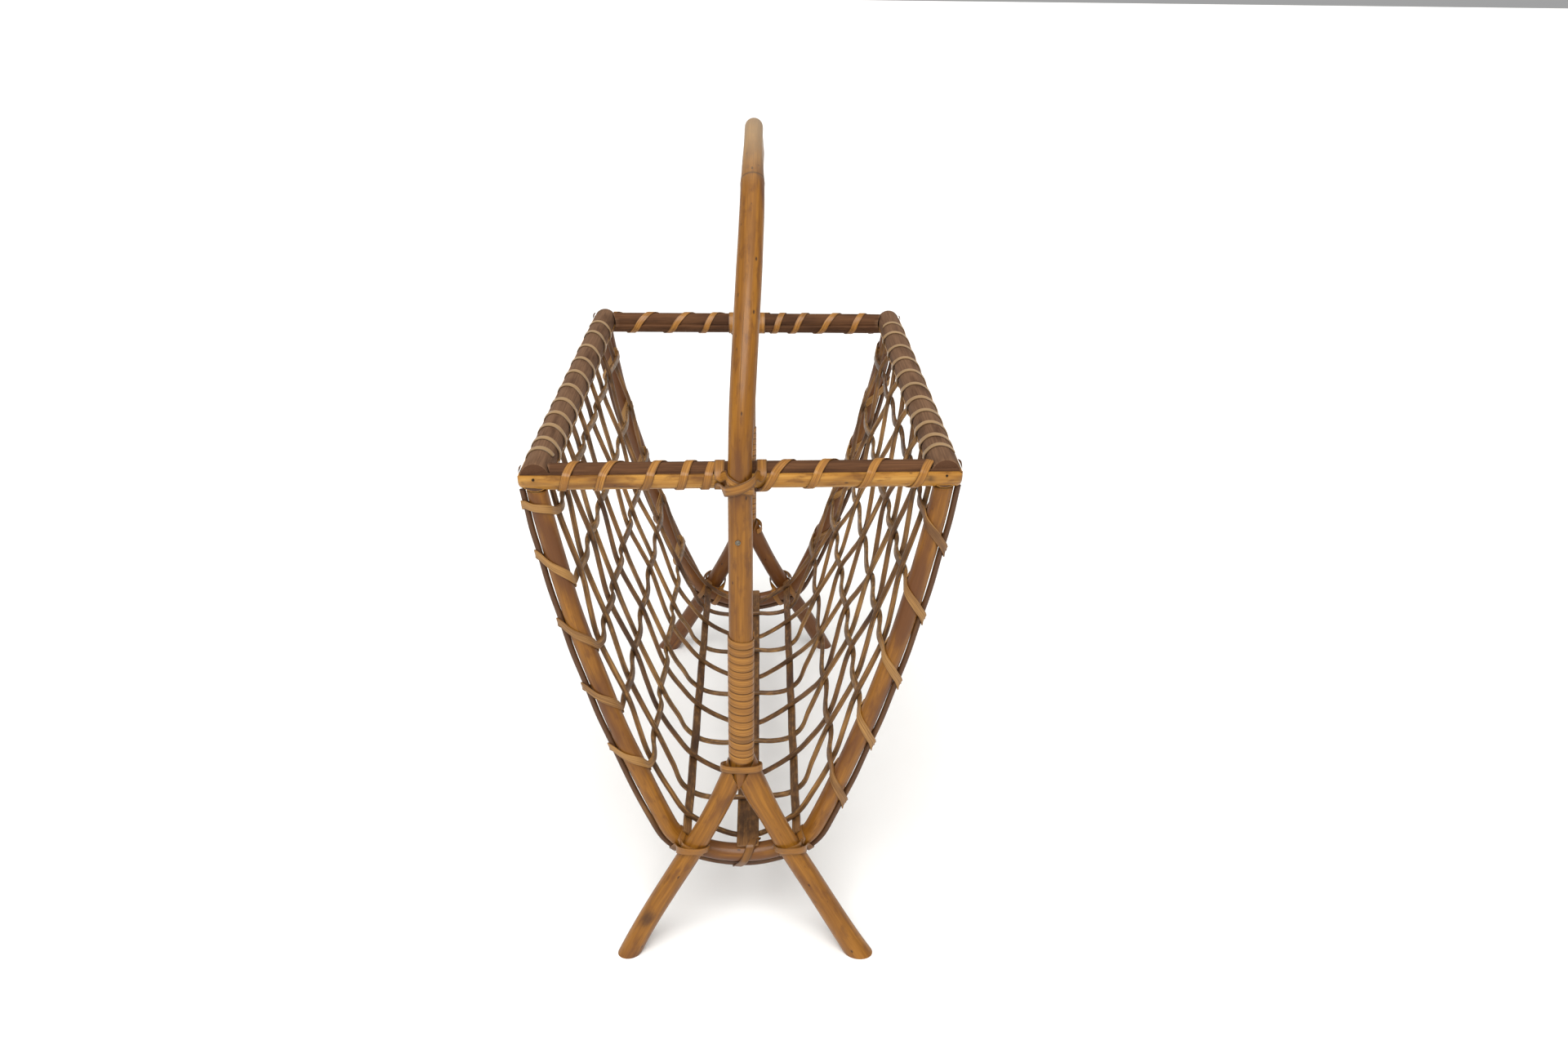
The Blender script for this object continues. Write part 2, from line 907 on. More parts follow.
@dataclass
class HalfPeeledCane(CaneSkin):
    """Rail with golden skin on its outer half and dull brown peeled cane on top and inside.

    The side rails, which have tone 0, are weathered. Browned is how far the inner side is brown below the
    skin's edge, as an angle.
    """

    golden: Colour = paint(176, 122, 48)
    pale: Colour = paint(198, 148, 72)
    aging: float = 0.0
    peeled: Colour = paint(96, 62, 36)
    dusky: Colour = paint(70, 44, 26)
    weathered: Colour = paint(116, 86, 62)
    pith: Colour = paint(84, 55, 35)
    furrow: Colour = (0.74, 0.72, 0.72, 1.0)
    ridge: Colour = grey(1.1)
    gloss: Gloss = (("Specular IOR Level", 0.22), ("Coat Roughness", 0.2))
    depth: float = 0.0004
    edge_angle: float = RailSection.edge_angle
    edge_width: float = 0.0001
    browned: float = 0.0
    dusk: Pattern = Pattern((110, 110, 22), 4.0, 0.42, 0.8)
    grain: Pattern = Pattern((1300, 1300, 26), 3.0, 0.3, 0.7)
    dusk_share: float = 0.1
    grain_relief: float = 0.5
    bare_roughness: float = 0.85
    skin_coat: float = 0.14

    def bare_side(self, wiring: Wiring, angle: float) -> Socket:
        """How far a spot of the section lies on the peeled side of a line at an angle."""
        across, up = (wiring.part(wiring.layer("straight"), axis) for axis in (0, 1))
        return wiring.plus(wiring.times(across, -sin(angle)), wiring.times(up, cos(angle)))

    def wire(self, wiring: Wiring) -> Material:
        """Builds the nodes of the skin and the peeled half.

        Args:
            wiring: the material's nodes.

        Returns:
            The material.
        """
        skin, relief = self.skin(wiring)
        line = wiring.layer("straight")
        upper, lower = (self.bare_side(wiring, self.edge_angle + more) for more in (0.0, self.browned))
        edge = Pattern((1, 1, 1), high=self.edge_width)
        bare = wiring.shown(wiring.most(upper, lower), edge)
        grain = wiring.cloud(line, self.grain)
        tone = wiring.part(wiring.layer("marks"), 2)
        aged = wiring.plus(wiring.cloud(line, self.dusk), wiring.times(tone, self.dusk_share))
        peeled = wiring.blend(tone, self.weathered, self.peeled)
        peeled = wiring.blend(wiring.shown(aged, self.dusk), peeled, self.dusky)
        shade = wiring.blend(wiring.shown(grain, self.grain), self.furrow, self.ridge)
        peeled = wiring.blend(1.0, peeled, shade, "MULTIPLY")
        colour = wiring.blend(bare, skin, peeled)
        values = {
            "Base Color": self.ended(wiring, colour),
            "Roughness": wiring.spread(bare, self.roughness, self.bare_roughness),
            "Coat Weight": wiring.spread(bare, self.skin_coat, 0.0),
        }
        height = wiring.plus(relief, wiring.times(wiring.times(grain, bare), self.grain_relief))
        return wiring.close(values | dict(self.gloss), height, self.depth)


@dataclass
class SplitCane(Finish):
    """Split cane: one glossy side, fine fibres, tone by piece and dirt at crossings.

    Dusty is the colour of bleached pieces, and edge is how dark the long edges of a strip are, from 0 to 1.
    """

    main: Colour = paint(120, 82, 42)
    light: Colour = paint(160, 118, 64)
    deep: Colour = paint(84, 54, 30)
    dirt: Colour = paint(46, 29, 17)
    dusty: Colour = paint(176, 150, 112)
    faint: Colour = (0.86, 0.85, 0.84, 1.0)
    bold: Colour = grey(1.03)
    edge: float = 0.0
    edge_from: float = 0.0018
    edge_to: float = 0.0026
    roughness: float = 0.45
    gloss: Gloss = (("Specular IOR Level", 0.3), ("Coat Weight", 0.15), ("Coat Roughness", 0.2))
    depth: float = 0.00025
    fibres: Pattern = Pattern((1900, 900, 30), 3.0, 0.42, 0.72)
    fine_fibres: Pattern = Pattern((1900, 900, 30), 3.0, 0.25, 0.7)
    patches: Pattern = Pattern((120, 120, 24), 3.0, 0.5, 0.78)
    grime: Pattern = Pattern((400, 400, 160), 2.0, 0.25, 0.6)
    tone_share: float = 0.22
    joint_share: float = 0.6
    rough_spread: float = 0.25

    def wire(self, wiring: Wiring) -> Material:
        """Builds the nodes of the split cane.

        Args:
            wiring: the material's nodes.

        Returns:
            The material.
        """
        line = wiring.layer("straight")
        joint, held, tone = (wiring.part(wiring.layer("marks"), axis) for axis in range(3))
        fibre = wiring.cloud(line, self.fibres)
        tone = wiring.times(tone, self.tone_share)
        lit = wiring.shown(wiring.reckon("SUBTRACT", fibre, tone), self.fibres)
        colour = wiring.blend(lit, self.main, self.light)
        aged = wiring.shown(wiring.plus(wiring.cloud(line, self.patches), tone), self.patches)
        colour = wiring.blend(aged, colour, self.deep)
        grime = wiring.cloud(line, self.grime)
        soiled = wiring.times(held, wiring.shown(grime, self.grime))
        colour = wiring.blend(wiring.most(wiring.times(joint, self.joint_share), soiled), colour, self.dirt)
        colour = wiring.blend(wiring.times(held, -1.0), colour, self.dusty)
        aside = wiring.reckon("ABSOLUTE", wiring.part(line, 0))
        rim = wiring.shown(aside, Pattern((1, 1, 1), low=self.edge_from, high=self.edge_to))
        colour = wiring.blend(wiring.times(rim, self.edge), colour, self.dirt)
        fine = wiring.blend(wiring.shown(fibre, self.fine_fibres), self.faint, self.bold)
        colour = wiring.blend(1.0, colour, fine, "MULTIPLY")
        rough = wiring.spread(grime, self.roughness, self.roughness + self.rough_spread)
        return wiring.close({"Base Color": colour, "Roughness": rough} | dict(self.gloss), fibre, self.depth)


@dataclass
class NailSteel(Finish):
    """Dull steel of a nail's head, darker towards its rim."""

    bright: Colour = paint(132, 124, 110)
    dull: Colour = paint(52, 40, 30)
    grime: Pattern = Pattern((1600, 1600, 1600), 4.0, 0.45, 0.75)
    roughness: tuple[float, float] = (0.35, 0.65)
    gloss: Gloss = (("Metallic", 0.8),)

    def wire(self, wiring: Wiring) -> Material:
        """Builds the nodes of the steel.

        Args:
            wiring: the material's nodes.

        Returns:
            The material.
        """
        grime = wiring.cloud(wiring.put("TexCoord").outputs["Object"], self.grime)
        rim, rust = (wiring.part(wiring.layer("marks"), axis) for axis in (1, 2))
        dark = wiring.most(wiring.most(rim, rust), wiring.shown(grime, self.grime))
        colour = wiring.blend(dark, self.bright, self.dull)
        rough = wiring.spread(grime, *self.roughness)
        return wiring.close({"Base Color": colour, "Roughness": rough} | dict(self.gloss), grime, self.depth)


@dataclass
class StudioPaper(Finish):
    """Pale paper under the basket."""

    tint: Colour = (0.93, 0.92, 0.895, 1)
    grain: Pattern = Pattern((400, 400, 400), 2.0)
    gloss: Gloss = (("Roughness", 0.9),)
    depth: float = 0.00005

    def wire(self, wiring: Wiring) -> Material:
        """Builds the nodes of the paper."""
        grain = wiring.cloud(wiring.put("TexCoord").outputs["Object"], self.grain)
        return wiring.close({"Base Color": self.tint} | dict(self.gloss), grain, self.depth)


SKIN = CaneSkin("cane_skin")
RAIL_SKIN = HalfPeeledCane("half_peeled_cane")
FAR_RAIL_SKIN = HalfPeeledCane("half_peeled_cane", variant="_browned", browned=radians(55))
WOVEN = SplitCane("woven_cane")
STRIP = SplitCane(
    "cane_strip",
    main=paint(144, 94, 32),
    light=paint(174, 121, 48),
    deep=paint(110, 72, 28),
    dirt=paint(64, 40, 24),
    roughness=0.34,
    gloss=(("Specular IOR Level", 0.3), ("Coat Weight", 0.2), ("Coat Roughness", 0.2)),
    edge=0.6,
)
STEEL = NailSteel("nail_steel")


# Bundles that strips are wound round


@dataclass
class Member:
    """A round member of a bundle, its centre offset from the bundle's."""

    offset: Vector
    radius: float


def bundle_reach(members: Sequence[Member], direction: Vector) -> float:
    """Furthest reach of a bundle in a direction square to it."""
    return max(member.offset.dot(direction) + member.radius for member in members)


def bundle_corner(
    members: Sequence[Member], normal: Vector, across: Vector, step: float, spread: float
) -> Vector:
    """Corner of the strip round a bundle.

    Args:
        members: the bundle.
        normal: direction of the corner.
        across: direction in which the strip goes on.
        step: angle between one corner and the next.
        spread: half the strip's thickness, with its clearance.

    Returns:
        The corner, from the bundle's centre.
    """
    half = step / 2
    before = normal * cos(half) - across * sin(half)
    after = normal * cos(half) + across * sin(half)
    low = bundle_reach(members, before) + spread
    high = bundle_reach(members, after) + spread
    corner = normal * ((low + high) / (2 * cos(half)))
    return corner + across * ((high - low) / (2 * sin(half)))


@dataclass
class Line:
    """The hoop line at one place: its place across, its height, its slope and the direction outward."""

    x: float
    z: float
    angle: float
    outward: Vector


@dataclass
class HoopLine:
    """Line of the end hoops: a shallow floor arc, a tight shoulder arc and a long side arc up to the rim."""

    bottom: float = 63.4
    floor_radius: float = 74.0
    floor_angle: float = radians(30)
    shoulder_radius: float = 28.0
    shoulder_angle: float = radians(66)
    top: float = 326.2
    top_reach: float = 120.5
    rail_y: float = 171.5
    splay: float = 11.5
    radius: float = 6.15
    edge_radius: float = 1.9

    def __post_init__(self) -> None:
        """Works out where each arc ends."""
        self.floor_arc = self.floor_radius * self.floor_angle
        self.shoulder_arc = self.shoulder_radius * (self.shoulder_angle - self.floor_angle)
        self.floor_start = (0.0, self.bottom, 0.0)
        self.floor_end = self.arc(self.floor_arc, self.floor_start, self.floor_radius)
        self.side_start = self.arc(self.shoulder_arc, self.floor_end, self.shoulder_radius)
        x, z, angle = self.side_start
        chord = hypot(self.top_reach - x, self.top - z)
        turn = 2 * (atan2(self.top - z, self.top_reach - x) - angle)
        self.side_radius = chord / (2 * sin(turn / 2))
        self.half = self.floor_arc + self.shoulder_arc + self.side_radius * turn

    @staticmethod
    def arc(run: float, start: tuple[float, float, float], radius: float) -> tuple[float, float, float]:
        """Place across, height and slope at a run along an arc.

        Args:
            run: run from the arc's start.
            start: the same three where it starts.
            radius: its radius.

        Returns:
            Place across, height and slope.
        """
        x, z, low = start
        high = low + run / radius
        return x + radius * (sin(high) - sin(low)), z + radius * (cos(low) - cos(high)), high

    def at(self, run: float) -> Line:
        """Line at a signed run from its lowest point, minus to the left.

        Args:
            run: the signed run.

        Returns:
            The line there.
        """
        reach = abs(run)
        sign = -1 if run < 0 else 1
        x, z, angle = self.arc(reach, self.floor_start, self.floor_radius)
        if reach > self.floor_arc:
            x, z, angle = self.arc(reach - self.floor_arc, self.floor_end, self.shoulder_radius)
        if reach > self.floor_arc + self.shoulder_arc:
            rest = reach - self.floor_arc - self.shoulder_arc
            x, z, angle = self.arc(rest, self.side_start, self.side_radius)
        return Line(sign * x, z, angle, Vector((sign * sin(angle), 0, -cos(angle))))

    def reach(self, z: float) -> float:
        """Half the distance between the hoops, which lean out towards the floor."""
        return self.rail_y + self.splay * (self.top - z) / (self.top - self.bottom)

    def wall(self, run: float, y: float, lift: float, shade: float = 0.0) -> Place:
        """Place on the wall of the basket.

        Args:
            run: run along the hoop line.
            y: place along the basket.
            lift: height out of the wall, plus outward.
            shade: how much darker a piece is there.

        Returns:
            The place, its normal inward.
        """
        line = self.at(run)
        point = Vector((line.x, y, line.z)) + line.outward * lift
        return Place(point, -line.outward, shade)

    @property
    def edge_lift(self) -> float:
        """How far out of the hoop the edge strand lies."""
        return self.radius + self.edge_radius + GAP

    def bundle(self, run: float) -> list[Member]:
        """The hoop and its edge strand, as a strip meets them."""
        outward = self.at(run).outward
        return [Member(Vector(), self.radius), Member(outward * self.edge_lift, self.edge_radius)]

    def along(self, lift: Callable[[float], float], over: float) -> list[Place]:
        """Places along a pole bent to the line at the near end.

        Args:
            lift: how far out of the line the pole runs, by its run.
            over: how far it runs past the line's ends.

        Returns:
            The places, from the left top round to the right top.
        """
        count = 90
        places = []
        for i in range(-count, count + 1):
            run = (self.half + over) * i / count
            places.append(self.wall(run, -self.reach(self.at(run).z), lift(run)))
        return places


LINE = HoopLine()


@dataclass
class StripSize:
    """Width and thickness of a strip of split cane."""

    width: float = 5.0
    thickness: float = 0.8

    def section(self) -> Section:
        """The strip's outline."""
        return Section(self.width, self.thickness, 12, 0.4)


def lay_strip(name: str, places: Sequence[Place], size: StripSize, tone: float = 0.0) -> CaneMesh:
    """Sweeps a strip through places.

    Args:
        name: name of the piece.
        places: where it passes.
        size: the strip.
        tone: how dark the piece is.

    Returns:
        The swept mesh.
    """
    mesh = CaneMesh(name, tone)
    growth = Growth(uneven=0.07, seed=mesh.seed)
    return mesh.sweep(Track(places), size.section(), 1.7, growth, Cut.THIN)


@dataclass
class Rim:
    """Four rails with skin on their outer and lower half, and the strips wound round them."""

    width: float = 260.0
    length: float = 362.0
    height: float = 336.0
    radius: float = 9.5
    peel: float = 2.9
    side_peel: float = 0.7
    corner_skin: float = 4.0
    knot: tuple[float, float, float] = (241.0, -0.2, 1.8)
    worn: float = 0.12
    worn_length: float = 12.0
    end_tone: float = 0.9
    sides: int = 48
    beads: int = 8
    bead_spread: float = 8.6
    bead_start: float = 0.8
    left_passes: tuple[float, ...] = (-102.0, -81.0, -53.0, -33.0, -19.0)
    right_passes: tuple[float, ...] = (18.5, 44.0, 75.0, 106.0)
    right_slant: float = 8.5
    tail_lifts: tuple[tuple[float, float], ...] = ((-0.12, 4.0), (0.04, 1.5), (0.2, 1.3), (0.34, 0.0))
    front_share: float = 0.2
    last_turn: float = 0.2
    end_turn: float = 0.68
    end_pull: float = 0.5
    ease: float = 1.01
    bleached: float = 0.6
    side_tone: float = 0.3
    strip: StripSize = field(default_factory=StripSize)
    turn_steps: int = 30

    def section(self, side: bool) -> RailSection:
        """Outline of a side rail or of an end rail."""
        peel = self.side_peel if side else self.peel
        return RailSection(2 * self.radius, 2 * self.radius, self.sides, peel=peel)

    def bar(self, name: str, start: Vector, stop: Vector) -> CaneMesh:
        """A rail from start to stop, its outer side to the right of that direction.

        Args:
            name: name of the rail.
            start: middle of its first end.
            stop: middle of its last end.

        Returns:
            The swept mesh.
        """
        places = [Place(start.lerp(stop, i / 8), UP) for i in range(9)]
        side = name.startswith(("left", "right"))
        mesh = CaneMesh(name, 0.0 if side else self.end_tone)

        def taper(distance: float) -> float:
            """Size of the rail, worn at the left end of an end rail."""
            return 1.0 if side else 1 - self.worn * exp(-((distance / self.worn_length) ** 2))

        growth = Growth(taper=taper, uneven=0.01, seed=mesh.seed, knots=() if side else (self.knot,))
        return mesh.sweep(Track(places, 6.0), self.section(side), 4.0, growth, Cut.SAWN if side else Cut.WORN)

    def build(self) -> None:
        """Builds the rails and their wraps."""
        side_end = self.length / 2 - self.corner_skin
        for end in End:
            y = self.radius - self.length / 2
            start, stop = (Vector((x, y, self.height)) for x in (-self.width / 2, self.width / 2))
            rail = self.bar(f"{end.value}_rail", start, stop)
            self.cope(rail, side_end + GAP)
            rail.finish(FAR_RAIL_SKIN if end is End.FAR else RAIL_SKIN, end.turned())
            for side in Side:
                self.end_wrap(end, side).finish(STRIP, end.turned())
        for side in Side:
            x = self.radius - self.width / 2
            start, stop = (Vector((x, y, self.height)) for y in (side_end, -side_end))
            turn = Matrix.Identity(4) if side is Side.LEFT else HALF_TURN
            self.bar(f"{side.word}_rail", start, stop).finish(RAIL_SKIN, turn)
            self.side_wrap(side).finish(STRIP, turn)

    def end_wrap(self, end: End, side: Side) -> CaneMesh:
        """Strip round half of an end rail. The right one starts with a loose tail below the rail.

        Args:
            end: the rail's end of the basket.
            side: the strip's half of the rail.

        Returns:
            The mesh at the near end.
        """
        tail = side is Side.RIGHT
        passes = self.right_passes if tail else self.left_passes
        first = self.tail_lifts[0][0] if tail else 0.0
        along = self.winding(passes, self.right_slant if tail else 0.0)
        places = self.helix(along, first, len(passes) - 0.75 + self.last_turn, False)
        for place in places:
            place.point += Vector((0, self.radius - self.length / 2, self.height))
        return lay_strip(f"{end.value}_{side.word}_rim_wrap", places, self.strip)

    def winding(self, passes: Sequence[float], slant: float = 0.0) -> Callable[[float], float]:
        """How far along a rail a strip is after a number of turns, from where it passes the front.

        Args:
            passes: places along the rail where it passes the middle of the front.
            slant: how far it goes on from there to the top in its first turn, if not its usual share.

        Returns:
            Place along the rail by number of turns from the bottom.
        """
        spans = [after - here for here, after in zip(passes, passes[1:])]
        knots = []
        for i, (here, span) in enumerate(zip(passes, [*spans, spans[-1]])):
            lean = slant if slant and not i else self.front_share * span
            if not i:
                knots += [(-0.25, here - 2 * lean), (0.0, here - lean)]
            knots += [(i + 0.25, here), (i + 0.5, here + lean)]
            knots.append((i + 1.0, here + (1 - self.front_share) * span))
        return lambda turn: read_off(knots, turn)

    def members(self) -> list[Member]:
        """An end rail as strips meet it: its peeled half and beads round its skin.

        Returns:
            The members, round the rail's middle.
        """
        bead = self.radius / 3
        found = [Member(Vector(), self.radius - self.peel)]
        for i in range(self.beads):
            turn = self.section(False).edge_angle - pi * (i + self.bead_start) / self.bead_spread
            found.append(Member(Vector((0, -cos(turn), sin(turn))) * (self.radius - bead), bead))
        return found

    def cope(self, rail: CaneMesh, reach: float) -> None:
        """Hollows a rail's ends so that they lap the ends of the side rails.

        Args:
            rail: the rail's mesh.
            reach: how far from the middle the hollow goes.
        """
        body = placed("uncoped_rail", rail.bm)
        spare = [body]
        lying = Matrix.Rotation(pi / 2, 4, "X")
        for side in Side:
            middle = Vector((side.value * (self.width / 2 - self.radius), -reach / 2, self.height))
            size = {"radius1": self.radius + GAP, "radius2": self.radius + GAP, "depth": reach}
            cutter = bmesh.new()
            matrix = Matrix.Translation(middle) @ lying
            bmesh.ops.create_cone(cutter, cap_ends=True, segments=64, matrix=matrix, **size)
            cut = body.modifiers.new("cope", "BOOLEAN")
            cut.operation, cut.solver, cut.object = "DIFFERENCE", "EXACT", placed("side_rail_hollow", cutter)
            spare.append(cut.object)
        bpy.context.view_layer.update()
        coped = bpy.data.meshes.new_from_object(body.evaluated_get(bpy.context.evaluated_depsgraph_get()))
        rail.bm = bmesh.new()
        rail.bm.from_mesh(coped)
        rail.straight = rail.bm.verts.layers.float_vector["straight"]
        rail.marks = rail.bm.verts.layers.float_vector["marks"]
        rail.cut = rail.bm.faces.layers.float["cut"]
        y = self.radius - self.length / 2
        for vert in rail.bm.verts:
            distance = vert.co.x + self.width / 2 + rail.grain_start
            vert[rail.straight] = Vector((y - vert.co.y, vert.co.z - self.height, distance))
        for mesh in [coped, *(thing.data for thing in spare)]:
            bpy.data.meshes.remove(mesh)

    def hull(self, turn: float, side: bool) -> float:
        """Radius at which a strip passes a rail, at an angle above the rail's outer side.

        Args:
            turn: the angle.
            side: whether it is a side rail.

        Returns:
            The radius.
        """
        section = self.section(side)
        away = (turn - section.edge_angle) % pi
        skin = (turn - section.edge_angle) % (2 * pi) > pi
        if skin:
            return self.radius
        bare = self.radius - section.peel
        lean = acos(bare / self.radius)
        edge = min(away, pi - away)
        return bare / cos(max(0.0, lean - edge))

    def helix(self, along: Callable[[float], float], first: float, last: float, side: bool) -> list[Place]:
        """Places of a strip wound round a near rail, from the bottom up the front.

        Args:
            along: place along the rail after a number of turns.
            first: number of turns at which it starts, 0 at the bottom.
            last: number of turns at which it stops.
            side: whether it is a side rail.

        Returns:
            The places, round a rail at the origin.
        """
        places = []
        for i in range(round(first * self.turn_steps), round(last * self.turn_steps) + 1):
            turn = 2 * pi * i / self.turn_steps
            normal = Vector((0, -sin(turn), -cos(turn)))
            above = turn - pi / 2
            distance = self.hull(above, side) * self.ease + self.strip.thickness / 2
            if first < 0 and not side:
                distance += read_off(self.tail_lifts, i / self.turn_steps)
            places.append(Place(Vector((along(i / self.turn_steps), 0, 0)) + normal * distance, normal))
        return places

    def side_wrap(self, side: Side) -> CaneMesh:
        """Strip round a side rail, whose turns pass under it half way between the cross strands.

        Args:
            side: the rail's side.

        Returns:
            The mesh on the left.
        """
        level, run = LATTICE.top_level, LATTICE.top_run
        tops = sorted(-side.value * LATTICE.cross_y(i, side.value, level, run) for i in range(LATTICE.count))
        between = [(a + b) / 2 for a, b in zip(tops, tops[1:])]
        last = len(between) - 1

        def along(turn: float) -> float:
            """Place along the rail after a number of turns, drawn close beyond the last strands.

            Args:
                turn: the number of turns.

            Returns:
                The place.
            """
            i = int(clamped(int(turn), 0, last - 1))
            over = self.end_pull * (min(turn, 0.0) + max(turn - last, 0.0))
            return between[i] + (between[i + 1] - between[i]) * (clamped(turn, 0.0, last) - i + over)

        places = self.helix(along, -self.end_turn, last + self.end_turn, True)
        quarter_turn = Matrix.Rotation(pi / 2, 4, "Z")
        shift = Matrix.Translation((self.radius - self.width / 2, 0, self.height)) @ quarter_turn
        for place in places:
            place.point = shift @ place.point
            place.normal = quarter_turn.to_3x3() @ place.normal
            place.shade = -self.bleached
        return lay_strip(f"{side.word}_rim_wrap", places, self.strip, self.side_tone)


@dataclass
class Row:
    """A weaver or floor slat of the lattice, which crosses the hoop line at a run.

    Its side is -1 on the left, 0 in the middle and 1 on the right. Its level is 0 on the floor and then
    counted up the side, and its index is counted from left to right.
    """

    name: str
    run: float
    width: float
    thickness: float
    side: int
    level: int
    index: int = 0


@dataclass
class Lattice:
    """Round cross strands woven with flat weavers on the sides and slats on the floor."""

    count: int = 11
    cross_radius: float = 1.9
    end_gap: float = 13.0
    weavers: int = 5
    weaver_width: float = 5.2
    weaver_thickness: float = 2.3
    wrap_thickness: float = 1.0
    first_weaver: float = 102.0
    top_gap: float = 18.0
    side_slat: float = 44.0
    side_slat_width: float = 6.6
    centre_width: float = 15.0
    slat_thickness: float = 1.8
    overhang: float = 3.0
    clearance: float = 0.5
    strand_thickness: float = 3.5
    woven_clearance: float = 0.1
    first_lean: float = 0.35
    row_lean: float = 0.13
    pull: float = 0.44
    near_hold: float = 0.27
    far_hold: float = 0.4
    wrap_rise: float = 25.0
    top_room: float = 6.0
    floor_shade: float = 0.6
    strand_shade: float = 0.7
    row_shade: float = 0.6
    wall_room: float = 0.8
    strand_end_lift: float = 5.5
    strand_over: float = 0.6
    side_share: float = 0.55
    floor_share: float = 0.9
    centre_aside: float = 4.4
    wrap_back: float = 1.3
    wrap_end: float = radians(332)
    wrap_steps: int = 42
    wrap_lead: float = 3.0
    wrap_crown: float = 2.6
    binding_lead: float = 2.0
    binding_start: float = 4.0
    binding_rise: float = 12.0

    def __post_init__(self) -> None:
        """Sets out the rows."""
        self.top_level = self.weavers + 1
        self.wall_lift = (LINE.radius + GAP) / cos(pi / 10) + self.wall_room
        tilt = atan2(self.wall_lift, self.top_gap) + pi / 2 - LINE.at(LINE.half).angle
        self.top_run = LINE.half - self.cross_radius * sin(tilt)
        pitch = (LINE.half - self.top_gap - self.first_weaver) / (self.weavers - 1)
        rows = [Row("centre_floor_slat", self.centre_aside, self.centre_width, self.slat_thickness, 0, 0)]
        for side in Side:
            name, run = f"{side.word}_floor_slat", side.value * self.side_slat
            rows.append(Row(name, run, self.side_slat_width, self.slat_thickness, side.value, 0))
            for level in range(1, self.weavers + 1):
                run = side.value * (self.first_weaver + (level - 1) * pitch)
                name = f"{side.word}_weaver_{level}"
                rows.append(Row(name, run, self.weaver_width, self.weaver_thickness, side.value, level))
        self.rows = sorted(rows, key=lambda row: row.run)
        for index, row in enumerate(self.rows):
            row.index = index

    def lift(self, row: Row) -> float:
        """How far a strand and a row stand apart where they cross."""
        rise = row.width * row.width / (8 * LINE.floor_radius)
        return (self.strand_thickness + row.thickness) / 2 + self.woven_clearance + rise

    def share(self, row: Row) -> float:
        """Share of that distance that a strand gives way: most of it at the stiff slats."""
        return self.side_share if row.level else self.floor_share

    def cross_y(self, index: int, side: int, level: int, run: float) -> float:
        """Place of a cross strand along the basket: straight on the floor, leaning and drawn in on the sides.

        Args:
            index: number of the strand.
            side: -1 left, 1 right.
            level: level of the row it crosses.
            run: run along the hoop line.

        Returns:
            The place along the basket.
        """
        reach = LINE.reach(LINE.at(run).z) - self.end_gap
        pitch = 2 * reach / (self.count - 1)
        straight = -reach + index * pitch
        if level == 0:
            return straight
        lean = self.first_lean + self.row_lean * (level - 1)
        drawn = level % 2 == 1 and index % 2 == (1 if side < 0 else 0)
        hold = min(1, self.near_hold * index, self.far_hold * (self.count - index))
        return straight - pitch * (lean + (self.pull if drawn else 0)) * hold

    @staticmethod
    def over(index: int, row: Row) -> int:
        """1 where a cross strand passes outside a row, else -1."""
        return 1 if (index + row.index) % 2 == 0 else -1

    def build(self) -> None:
        """Builds the strands, weavers, slats and their bindings."""
        for index in range(self.count):
            self.strand(index).finish(WOVEN)
        for row in self.rows:
            (self.weaver if row.level else self.slat)(row).finish(WOVEN)
        for end in End:
            self.binding(end).finish(STRIP, end.turned())

    def strand(self, index: int) -> CaneMesh:
        """A cross strand from rail to rail.

        Args:
            index: number of the strand.

        Returns:
            The swept mesh.
        """
        over = LINE.half + self.strand_over
        ys = [self.cross_y(index, side.value, self.top_level, self.top_run) for side in Side]
        tops = [LINE.wall(side.value * over, y, -self.strand_end_lift) for side, y in zip(Side, ys)]
        places = [tops[0]]
        for k, row in enumerate(self.rows):
            y = self.cross_y(index, row.side, row.level, row.run)
            lift = -self.wall_lift + self.over(index, row) * self.lift(row) * self.share(row)
            half = row.width / 2 + self.cross_radius / 2
            for run in (row.run - half, row.run + half):
                places.append(LINE.wall(run, y, lift, self.strand_shade))
            if k + 1 < len(self.rows):
                after = self.rows[k + 1]
                y_after = self.cross_y(index, after.side, after.level, after.run)
                place = LINE.wall((row.run + after.run) / 2, (y + y_after) / 2, -self.wall_lift)
                place.shade = self.floor_shade if abs(place.point.x) < self.side_slat else 0.0
                places.append(place)
        tone = noise.noise(Vector((index * 3.3, 0.5, 0))) * 0.9
        mesh = CaneMesh(f"cross_strand_{index + 1:02d}", tone)
        growth = Growth(uneven=0.06, wander=0.5, seed=mesh.seed)
        section = Section(2 * self.cross_radius, self.strand_thickness, 12, 0.8)
        return mesh.sweep(Track([*places, tops[1]]), section, 3.0, growth, Cut.SAWN)

    def crossings(self, row: Row) -> list[Place]:
        """Places at which a row passes the cross strands.

        Args:
            row: the row.

        Returns:
            Two places at each strand.
        """
        places = []
        for index in range(self.count):
            y = self.cross_y(index, row.side, row.level, row.run)
            lift = -self.wall_lift - self.over(index, row) * self.lift(row) * (1 - self.share(row))
            half = self.cross_radius + self.clearance / 2
            for here in (y - half, y + half):
                places.append(LINE.wall(row.run, here, lift, self.row_shade))
        return places

